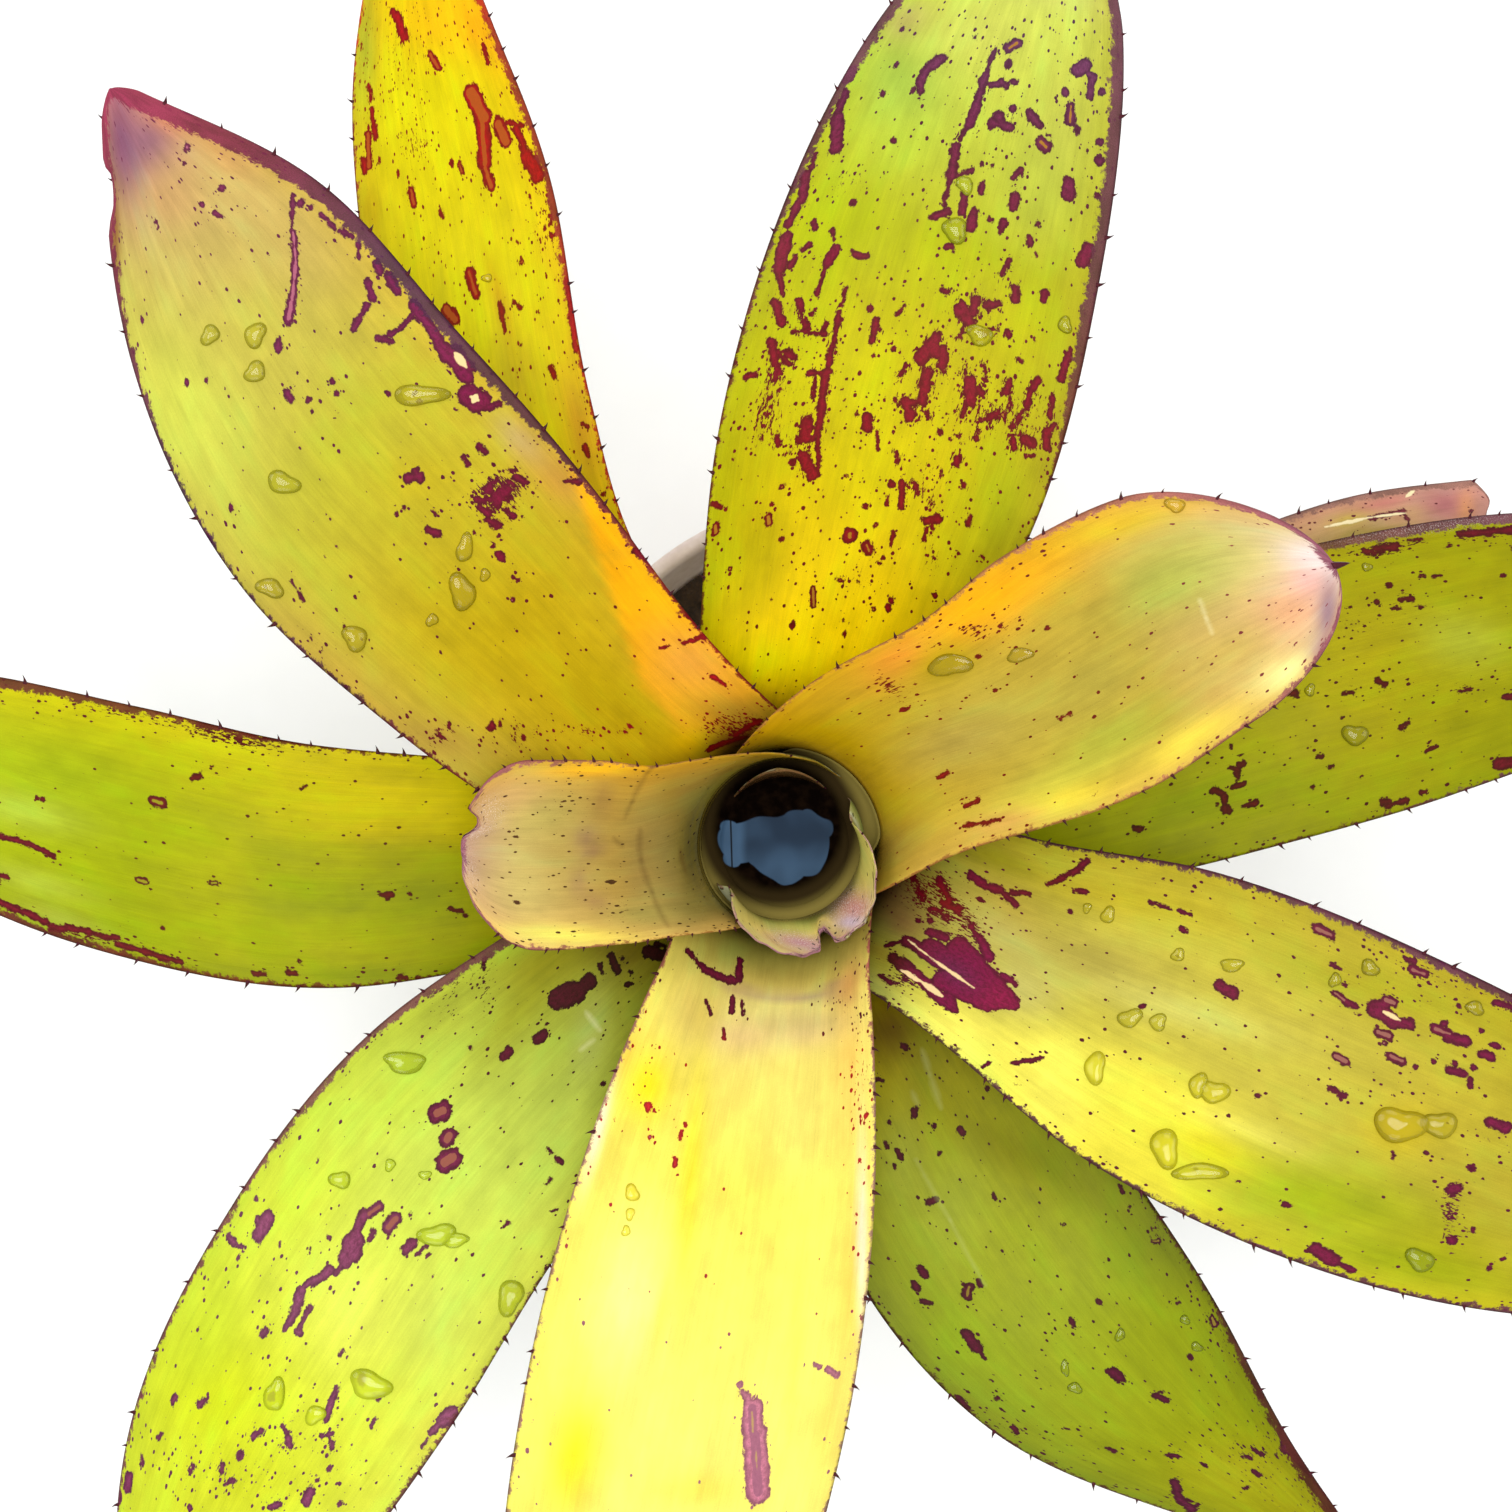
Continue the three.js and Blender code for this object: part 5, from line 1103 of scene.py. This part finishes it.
# A leaf is its shell with its spines fused in. Its points hold the base, mark and rim colours, the place on
# the blade, looksA (how far inside the rim's band, and how many flecks) and looksB (underside, scurf, wet).
def buildLeaf(rank):
    leaf, look = leafShapes[rank], leafLooks[rank]
    rng = np.random.default_rng(100 + rank)
    line = middleLine(leaf, rank)
    shell = leafShell(leaf, line)
    s, v = np.meshgrid(shell["rows"], shell["v"], indexing="ij")
    along, half = s - line["start"], halfWidth(leaf, line, s)
    u = along / leaf["length"]
    upper = shell["upper"]
    seen = seenAt(upper)
    fromAxis = np.hypot(upper[..., 0] - plant["x"], upper[..., 1] - plant["y"])
    tint = leafTint(look, u, v, seen, fromAxis, upper[..., 2])

    edgeGap = np.minimum(half * (1 - np.abs(v)), 1.2 * (line["total"] - s) + 0.2)
    widths = [np.interp(u, np.linspace(0, 1, len(side)), side) for side in look["rim"]]
    rim = widths[0] + (widths[1] - widths[0]) * smooth((v + 0.3) / 0.6) - edgeGap
    fleck, scurf = np.full(u.shape, look.get("fleck", 0.05)), np.zeros(u.shape)
    for kind, values in (("fleckZones", fleck), ("scurfZones", scurf)):
        for x, y, rx, ry, angle, amount in look.get(kind, []):
            values += amount * oval(seen, x, y, rx, ry, angle)
    wet = smooth((34 - fromAxis) / 12)
    places = np.stack([v * blade["wide"], along, v * half], axis=-1)
    scale = (camera["place"][2] - upper[..., 2].mean()) / camera["focal"]  # mm for one unit of the view
    marks, lines = placedStrokes(look, seen, places, scale)

    def bothFaces(values):  # values on the upper grid, in the order of the shell's points
        return np.concatenate([values, values[:, -2:0:-1]], axis=1)

    under = np.concatenate([np.zeros_like(v), np.ones_like(v[:, -2:0:-1])], axis=1)
    lowerTint = blend(tint * 0.82, linear(tones["under"]), np.full(u.shape, 0.45))
    tints = np.concatenate([tint, lowerTint[:, -2:0:-1]], axis=1)
    looksA = bothFaces(np.stack([rim, fleck, np.zeros_like(rim)], axis=-1))
    looksB = np.concatenate([under[..., None], bothFaces(np.stack([scurf, wet], axis=-1))], axis=-1)
    markTint = painted(hueAlong(look["markHues"], u), seen, look.get("markPatches", []))

    spinePoints, spineFaces, t = leafSpines(leaf, line, look, rng)
    if "point" in look:
        tipPoints, tipFaces, tipT = tipSpine(leaf, line, look["point"])
        spineFaces = spineFaces + [[x + len(spinePoints) for x in face] for face in tipFaces]
        spinePoints, t = np.concatenate([spinePoints, tipPoints]), np.concatenate([t, tipT])
    points = np.concatenate([shell["points"].reshape(-1, 3), spinePoints])
    base = len(points) - len(spinePoints)
    faces = shell["faces"] + [[x + base for x in face] for face in spineFaces]
    spineTint = np.broadcast_to(linear(look.get("spineTint", tones["spine"]))[:3], (len(t), 3))
    spineTint = blend(spineTint, linear(tones["spineEnd"]), t)
    node = "leaf_%02d" % (rank + 1)
    material = leafMaterial("leaf skin " + str(rank + 1), look)
    piece = putMesh("blade_%02d" % (rank + 1), points, faces, material)
    for name, values in (("tint", tints), ("markTint", bothFaces(markTint)),
                         ("rimTint", bothFaces(hueAlong(look["rimHues"], u)))):
        colours = np.concatenate([values.reshape(-1, 3), spineTint])
        putValues(piece, name, "FLOAT_COLOR", np.concatenate([colours, np.ones((len(points), 1))], axis=1))
    for name, values, onSpines in (("leafPlace", bothFaces(places), [offBlade] * 3),
                                   ("looksA", looksA, [-far, 0.0, 0.0]), ("looksB", looksB, [0.0] * 3)):
        values = np.concatenate([values.reshape(-1, 3), np.tile(onSpines, (len(t), 1))])
        putValues(piece, name, "FLOAT_VECTOR", values)

    flatPlaces = bothFaces(places).reshape(-1, 3)[:, [2, 1]]
    middles = np.concatenate([flatPlaces[shell["sides"]].mean(axis=1),
                              np.full((len(faces) - len(shell["sides"]), 2), offBlade)])
    for title, strokes, slots in (("mark", marks, markSlots), ("line", lines, lineSlots)):
        for slot, mine in enumerate(np.moveaxis(nearestStrokes(middles, strokes, slots), 1, 0)):
            putValues(piece, title + "From" + str(slot), "FLOAT_VECTOR", mine[:, [0, 1, 4]], "FACE")
            putValues(piece, title + "Span" + str(slot), "FLOAT_VECTOR", mine[:, [2, 3, 5]], "FACE")
            if title == "line":
                putValues(piece, title + "Tint" + str(slot), "FLOAT_COLOR", mine[:, 6:10], "FACE")
    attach(piece, "root")
    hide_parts(node)
    return {"leaf": leaf, "line": line, "seen": seen, "places": places, "tint": tint}


# ---- the pot, the soil, the stem and the water


# A closed shape turned about an axis: its outline is swept round, and the outline's ends lie on the axis.
def turnedShape(outline, sides, x=0.0, y=0.0):
    outline = np.asarray(outline, float)
    angle = np.arange(sides) * 2 * math.pi / sides
    body = outline[1:-1]
    rings = np.stack([x + body[:, None, 0] * np.cos(angle), y + body[:, None, 0] * np.sin(angle),
                      np.broadcast_to(body[:, None, 1], (len(body), sides))], axis=-1)
    points = np.concatenate([rings.reshape(-1, 3), [[x, y, outline[0, 1]], [x, y, outline[-1, 1]]]])
    first, last = len(points) - 2, len(points) - 1
    ends = [fan(first, 0, sides)[:, fanTurned], fan(last, (len(body) - 1) * sides, sides)]
    return points, ringQuads(len(body), sides).tolist() + np.concatenate(ends).tolist()


def simpleMaterial(name, colours, rough, scale, bump):  # two colours mixed by noise
    material, w, surface = newMaterial(name)
    place = w.objectPlace()
    noise = w.noise(place, scale, 4.0, 0.6)[0]
    fine = w.noise(place, scale * 6, 3.0)[0]
    share = w.ramp(w.plus(w.times(noise, 0.7), w.times(fine, 0.3)), 0.35, 0.65)
    w.join(w.mix(share, *(linear(text) for text in colours)), surface.inputs["Base Color"])
    w.join(w.ramp(fine, 0.3, 0.7, rough - 0.06, rough + 0.06), surface.inputs["Roughness"])
    height = w.add("ShaderNodeBump", {"Strength": bump, "Distance": 0.0006, "Height": fine})
    w.join(height.outputs[0], surface.inputs["Normal"])
    return material


pot = {"colours": ("#efdcd6", "#dcc6bd"), "rough": 0.5, "sides": 128}


def buildPot():
    foot = [(0, 0), (57, 0), (60.6, 0.8), (62, 3.2), (62.6, 8), (84.6, 131)]
    rim = [(85.2, 132.4), (88.6, 133.6), (90, 136), (90, 146.6), (89.5, 148.6), (88.2, 149.7), (86.6, 149.9),
           (85.2, 149.2), (84.4, 147)]
    inside = [(81.4, 131), (80.9, 130), (59.2, 9), (55, 5), (0, 5)]
    points, faces = turnedShape(foot + rim + inside, pot["sides"])
    material = simpleMaterial("pot plastic", pot["colours"], pot["rough"], 60, 0.12)
    piece = putMesh("pot_shell", points, faces, material)
    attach(piece, "root")
    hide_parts("pot")


def spun(pairs, angle):  # pairs of numbers turned about their origin, by one angle for each row
    cos, sin = np.cos(angle)[:, None], np.sin(angle)[:, None]
    first, second = pairs[..., 0], pairs[..., 1]
    return np.stack([first * cos - second * sin, first * sin + second * cos], axis=-1)


soil = {"top": 134.0, "dome": 4.0, "radius": 80.4, "colours": ("#2a1d14", "#4a3624"), "bits": 420}


# The soil is a mound whose height falls with the square of the distance from the middle, roughened by sums of
# sines, with bark chips lying on it. It closes down to the pot's floor.
def buildSoil():
    rng = np.random.default_rng(7)
    rings, sides = 46, 120
    radius = np.linspace(0, soil["radius"], rings)[1:]
    angle = np.arange(sides) * 2 * math.pi / sides
    x, y = radius[:, None] * np.cos(angle), radius[:, None] * np.sin(angle)
    rough = 0.7 * np.sin(x * 0.9 + 1.3 * np.sin(y * 0.5)) * np.sin(y * 1.1 + np.sin(x * 0.7)) + 0.4 * np.sin(
        x * 2.3 + y * 1.7) * np.sin(y * 2.9 - x)
    z = soil["top"] - 3 + (soil["dome"] + 2) * (1 - (radius[:, None] / soil["radius"]) ** 2) + rough * 0.8
    surface = np.stack([x, y, z], axis=-1)
    skirt = np.stack([58.6 * np.cos(angle), 58.6 * np.sin(angle), np.full(sides, 9.5)], axis=-1)[None]
    points = np.concatenate([surface, skirt]).reshape(-1, 3)
    points = np.concatenate([points, [[0, 0, soil["top"] + soil["dome"] - 1], [0, 0, 9.5]]])
    ends = [fan(len(points) - 2, 0, sides), fan(len(points) - 1, (rings - 1) * sides, sides)[:, fanTurned]]
    faces = ringQuads(rings, sides)[:, quadTurned].tolist() + np.concatenate(ends).tolist()

    count = soil["bits"]
    corners = np.array([[a, b, c] for a in (-1, 1) for b in (-1, 1) for c in (-1, 1)], float)
    box = [[0, 1, 3, 2], [4, 6, 7, 5], [0, 4, 5, 1], [2, 3, 7, 6], [0, 2, 6, 4], [1, 5, 7, 3]]
    size = rng.uniform(0.35, 1.0, (count, 1, 3)) * np.array([4.2, 2.6, 1.1])
    chips = corners[None] * size * rng.uniform(0.75, 1.2, (count, 8, 3))
    turn, tilt = rng.uniform(0, 2 * math.pi, count), rng.uniform(-0.5, 0.5, count)
    chips[..., ::2] = spun(chips[..., ::2], tilt)
    away = (soil["radius"] - 5) * np.sqrt(rng.uniform(0, 1, count))
    where = rng.uniform(0, 2 * math.pi, count)
    height = soil["top"] - 2.6 + (soil["dome"] + 2) * (1 - (away / soil["radius"]) ** 2)
    middleOf = np.stack([away * np.cos(where), away * np.sin(where), height], axis=-1)[:, None, :]
    chips[..., :2] = spun(chips[..., :2], turn)
    base = len(points)
    points = np.concatenate([points, (chips + middleOf).reshape(-1, 3)])
    faces += [[base + 8 * k + x for x in face] for k in range(count) for face in box]
    piece = putMesh("soil_mix", points, faces,
                    simpleMaterial("potting mix", soil["colours"], 0.88, 220, 0.8), shade=False)
    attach(piece, "root")
    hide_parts("soil")


def buildStem():  # a short stem with ringed scars: its radius swells at each ring
    z = np.linspace(112, 168, 70)
    radius = 10.7 - 0.35 * (1 + np.cos(2 * math.pi * z / 4.2)) ** 2 / 4
    outline = [(0, 112), *zip(radius, z), (8, 170), (0, 171)]
    points, faces = turnedShape(outline, 48, plant["x"], plant["y"])
    material = simpleMaterial("stem fibre", ("#8a7c4a", "#5c4a2c"), 0.7, 260, 0.5)
    piece = putMesh("stem_core", points, faces, material)
    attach(piece, "root")
    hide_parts("stem")


# The pool's colour is painted reflection: sky is the sky reflected in it, deep the dark reflection of the
# shaded walls, and shore the leaf walls seen in the water round its edge. The sky shows in a patch made of
# round-ended strokes: where each starts, its run and its half-width, in mm from the middle of the pool.
water = {"sides": 96, "radius": 17.6, "level": 211.3, "sky": ("#1c2a3a", "#3a526a"),
         "deep": ("#060302", "#120a05"), "shore": ("#2c2210", "#7b6d34"),
         "patch": [(4.0, 0.6, 0.3, -1.8, 8.0), (-12.6, 0.2, 13.0, 1.9, 5.4), (-6.4, -1.8, 6.6, -4.4, 4.6),
                   (-14.4, 4.0, 0.0, -8.0, 2.4), (6.4, 6.0, 4.0, -2.0, 2.8), (0.6, -7.4, 1.6, 0.0, 3.4)]}


# The pool is a flat disc. Round it a ring of water stands between the sheaths and climbs the outer one.
def buildWater():
    radius = np.linspace(0, 1, 12)[1:]
    outline = [(0, 172), (8, 172), (11, 174.4), (13.6, 176.4), (14.8, 180), (15.0, 203)]
    outline += [(water["radius"], 208), *((water["radius"] * r, water["level"]) for r in radius[::-1])]
    outline += [(0, water["level"])]
    sides = water["sides"]
    points, faces = turnedShape(outline, sides, plant["x"], plant["y"])
    angle = (np.arange(sides) * 2 * math.pi / sides)[None, :]
    outer = 22.5 + 3.1 * smooth((np.cos(angle - math.radians(45)) - 0.55) / 0.25)  # out to the next sheath
    ring = np.array([(0, 206), (1, 206), (1, 215.5), (0.93, 213.2), (0.78, 212.0), (0.55, 211.6),
                     (0, 211.28)])
    reach = 17.0 + (outer - 17.0) * ring[:, :1]
    between = np.stack([plant["x"] + reach * np.cos(angle), plant["y"] + reach * np.sin(angle),
                        ring[:, 1:] * np.ones_like(angle)], axis=-1)
    faces += (ringQuads(len(ring) + 1, sides) % (len(ring) * sides) + len(points)).tolist()
    points = np.concatenate([points, between.reshape(-1, 3)])
    material, w, surface = newMaterial("tank water")
    place = w.vector("SCALE", w.objectPlace(), scale=1000.0)
    place = w.vector("MULTIPLY", w.vector("SUBTRACT", place, (plant["x"], plant["y"], 0)), (1, 1, 0))
    ripple = w.noise(place, 0.1, 1.0, 0.4)
    shift = w.vector("SCALE", w.vector("SUBTRACT", ripple[1], (0.5, 0.5, 0.5)), scale=4.0)
    bent = w.vector("MULTIPLY", w.vector("ADD", place, shift), (1, 1, 0))
    gap = far
    for x, y, dx, dy, width in water["patch"]:
        found = w.add("ShaderNodeGroup", {"Place": bent, "From": (x, y, width), "Span": (dx, dy, 0)},
                      node_tree=strokeGroup).outputs
        gap = w.maths("MINIMUM", gap, w.minus(found["Gap"], found["Width"]))
    mask = w.ramp(gap, 0.25, -0.25)
    # Painted reflection: the sky grows paler towards one side, and a dark line crosses it near that side.
    split = w.split(place)
    pale = w.plus(w.ramp(split[0], -9.5, -12.5, 0.0, 0.8), w.ramp(ripple[0], 0.4, 0.7, 0.0, 0.3))
    pale = w.plus(pale, w.ramp(split[1], 2.0, -9.0, 0.0, 0.5))
    sky = w.mix(pale, *(linear(text) for text in water["sky"]))
    line = w.maths("ABSOLUTE", w.plus(w.times(split[1], 0.03), w.plus(split[0], 14.2)))
    sky = w.mix(w.ramp(line, 0.35, 0.1), sky, linear("#0c1016"))
    deep = w.mix(w.ramp(w.noise(place, 0.3, 3.0)[0], 0.4, 0.7), *(linear(text) for text in water["deep"]))
    shore = w.vector("LENGTH", w.vector("SUBTRACT", place, (-1.5, 4.5, 0)))
    for text, low, high in zip(water["shore"], (15.5, 19.5), (19.0, 24.0)):
        deep = w.mix(w.ramp(shore, low, high, 0.0, 0.95), deep, linear(text))
    w.join(w.mix(mask, deep, sky), surface.inputs["Base Color"])
    w.join(w.ramp(ripple[0], 0.3, 0.7, 0.02, 0.05), surface.inputs["Roughness"])
    w.join(w.times(mask, 0.03), surface.inputs["Coat Weight"])
    surface.inputs["Specular IOR Level"].default_value = 0.0
    piece = putMesh("pool", points, faces, material)
    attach(piece, "root")
    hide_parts("tank_water")


# Drops on the blades: the leaf's number, then x, y and two radii in the camera's view.
drops = [
    (5, 632, 1193, 8, 8), (5, 630, 1214, 5, 6), (5, 626, 1231, 5, 5),
    (6, 283, 483, 16, 12), (6, 462, 592, 14, 18), (6, 465, 548, 9, 14), (6, 485, 575, 6, 6),
    (6, 432, 620, 6, 7), (6, 420, 395, 25, 12), (6, 270, 588, 14, 10), (6, 355, 638, 14, 12),
    (6, 255, 335, 12, 12), (6, 255, 372, 12, 10), (6, 210, 335, 10, 10),
    (7, 1095, 1068, 12, 15), (7, 1165, 1148, 16, 18), (7, 1200, 1172, 25, 10), (7, 1130, 1018, 12, 10),
    (7, 1158, 1022, 10, 8), (7, 1198, 1085, 10, 12), (7, 1214, 1092, 14, 13), (7, 1335, 980, 6, 8),
    (7, 1370, 968, 10, 8), (7, 1475, 1008, 10, 7), (7, 1400, 1125, 24, 20), (7, 1440, 1125, 16, 15),
    (7, 1420, 1260, 14, 12), (7, 1232, 965, 14, 6), (7, 1087, 908, 5, 5), (7, 1108, 915, 8, 8),
    (7, 1178, 955, 8, 6),
    (8, 405, 1062, 24, 10), (8, 437, 1235, 18, 12), (8, 456, 1240, 14, 7), (8, 510, 1297, 14, 17),
    (8, 370, 1385, 22, 14), (8, 275, 1395, 10, 18), (8, 315, 1415, 10, 10), (8, 340, 1180, 10, 10),
    (8, 390, 1165, 6, 6), (8, 425, 1175, 6, 5),
    (9, 955, 230, 14, 12), (9, 965, 185, 8, 10), (9, 980, 335, 14, 10), (9, 1065, 325, 8, 8),
    (12, 1367, 567, 5, 5), (12, 1355, 735, 12, 12), (12, 1310, 690, 6, 6),
    (10, 1065, 1368, 4, 9), (10, 1075, 1388, 7, 6), (10, 1120, 1335, 5, 7), (10, 1197, 1347, 6, 5),
    (10, 1185, 1320, 5, 5),
    (4, 1020, 655, 14, 7), (4, 1175, 505, 10, 8), (4, 950, 665, 20, 12), (13, 487, 278, 5, 5),
]
dropLook = {"tint": (1.05, 1.08, 0.25), "rough": 0.05, "rise": 0.2, "lobes": 0.16, "clear": (0.5, 0.75)}


# A drop is a low dome on the blade: over a round patch of the leaf, its height falls as a half circle to the
# edge, and its outline wanders by sines of the angle. A flat underside just inside the blade closes it.
def buildDrops(leaves):
    rng = np.random.default_rng(31)
    rings, sides = 7, 26
    r = np.sin(np.linspace(0, math.pi / 2, rings))[1:, None]
    angle = (np.arange(sides) * 2 * math.pi / sides)[None, :]
    points, faces, tints = [], [], []
    quads = ringQuads(rings - 1, sides)[:, quadTurned]
    top = (rings - 1) * sides
    fans = np.concatenate([fan(top, 0, sides), fan(top + 1, top - sides, sides)[:, fanTurned]])
    # Painted light and shade: each drop takes the leaf's tint made brighter and yellower, darkened towards
    # its edge, lighter in its middle and darker at the point beneath.
    darker = 1.08 - 0.28 * smooth(2 * r - 1)  # at the edge
    paintedLightAndShade = np.append(np.repeat(darker, sides), (1.08, 0.8))[:, None]
    for number, x, y, rx, ry in drops:
        made = leaves[number - 1]
        leaf, line = made["leaf"], made["line"]
        centre, right, down = (leafPlaceAt(made["seen"], made["places"], *spot)[:2] for spot in (
            (x, y), (x + rx, y), (x, y + ry)))
        waves = np.sin(2 * angle + rng.uniform(0, 6)) + 0.7 * np.sin(3 * angle + rng.uniform(0, 6))
        reach = r * (1 + dropLook["lobes"] * waves)
        spots = centre + reach[..., None] * (np.cos(angle)[..., None] * (right - centre)
                                             + np.sin(angle)[..., None] * (down - centre))
        spots = np.concatenate([spots.reshape(-1, 2), [centre, centre]])
        v, s = np.clip(spots[:, 0] / blade["wide"], -0.98, 0.98), spots[:, 1] + line["start"]
        normal = bladeAxes(leaf, line, s, v)[2]
        size = min(rx, ry) * 0.257 * dropLook["rise"] * 2
        height = size * np.sqrt(np.clip(1 - r ** 2, 0, 1)) * np.ones_like(angle)
        height = np.concatenate([height.ravel() + 0.02, [size + 0.02, -0.06]])
        points.append(bladeSurface(leaf, line, s, v) + normal * (halfThickness(v) + height)[:, None])
        base = sum(len(some) for some in points[:-1])
        own = made["tint"].reshape(-1, 3)[np.argmin(np.hypot(*(made["seen"] - (x, y)).reshape(-1, 2).T))]
        tints.append(np.append(paintedLightAndShade * own * dropLook["tint"], np.ones_like(paintedLightAndShade), axis=1))
        faces += (quads + base).tolist() + (fans + base).tolist()
    material, w, surface = newMaterial("water drops")
    cloud = w.noise(w.objectPlace(), 120.0, 2.0)[0]
    own = w.read("tint", "Color")
    w.join(w.vector("SCALE", own, scale=w.ramp(cloud, 0.3, 0.7, 0.92, 1.08)), surface.inputs["Base Color"])
    surface.inputs["Roughness"].default_value = dropLook["rough"]
    surface.inputs["Specular IOR Level"].default_value = 0.6
    facing = w.add("ShaderNodeLayerWeight", {"Blend": 0.35}).outputs["Facing"]
    w.join(w.ramp(facing, 0.1, 0.75, *dropLook["clear"]), surface.inputs["Alpha"])
    piece = putMesh("water_drops", np.concatenate(points), faces, material)
    putValues(piece, "tint", "FLOAT_COLOR", np.concatenate(tints))
    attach(piece, "root")


# ---- the stage

stage = {"floor": ("#fbfaf8", "#f6f5f2"), "world": "#eef3f8", "worldLight": 0.55}


def buildStage():
    corners = [[-4000, -4000, 0], [4000, -4000, 0], [4000, 4000, 0], [-4000, 4000, 0]]
    material = simpleMaterial("studio floor", stage["floor"], 0.8, 4, 0.02)
    floor = putMesh("floor", corners, [[0, 1, 2, 3]], material)
    world = bpy.data.worlds.new("studio")
    bpy.context.scene.world = world
    world.use_nodes = True
    world.node_tree.nodes["Background"].inputs[0].default_value = linear(stage["world"])
    world.node_tree.nodes["Background"].inputs[1].default_value = stage["worldLight"]
    for name, place, size, power in (
            ("left softbox", (-1.5, 0.6, 1.7), 1.4, 12.5), ("right softbox", (1.5, 0.2, 1.6), 1.3, 8.0),
            ("far softbox", (0.1, 1.6, 1.6), 1.3, 8.0), ("near softbox", (-0.1, -1.6, 1.6), 1.3, 8.0),
            ("top softbox", (-0.02, 0.0, 1.7), 0.9, 13.0)):
        light = bpy.data.lights.new(name, "AREA")
        light.shape, light.size, light.energy = "DISK", size, power
        lamp = bpy.data.objects.new(name, light)
        lamp.location = place
        aim = np.array([0, 0, 0.2]) - np.array(place)
        heading = math.atan2(aim[1], aim[0]) - math.pi / 2
        lamp.rotation_euler = (math.acos(-aim[2] / np.linalg.norm(aim)), 0, heading)
        bpy.context.scene.collection.objects.link(lamp)
    bpy.context.scene.view_settings.view_transform = "Standard"


def buildCamera():
    data = bpy.data.cameras.new("camera")
    data.sensor_width = 36.0
    data.lens = camera["focal"] / camera["side"] * 36.0
    data.clip_start, data.clip_end = 0.01, 20.0
    eye = bpy.data.objects.new("camera", data)
    eye.location = [x * 0.001 for x in camera["place"]]
    bpy.context.scene.collection.objects.link(eye)
    bpy.context.scene.camera = eye


buildCamera()
buildStage()
print("camera and stage ready")
built = [buildLeaf(rank) for rank in range(len(leafShapes))]
print("leaves ready:", len(built))
buildPot()
buildSoil()
buildStem()
buildWater()
buildDrops(built)
print("pot, soil, stem and water ready")
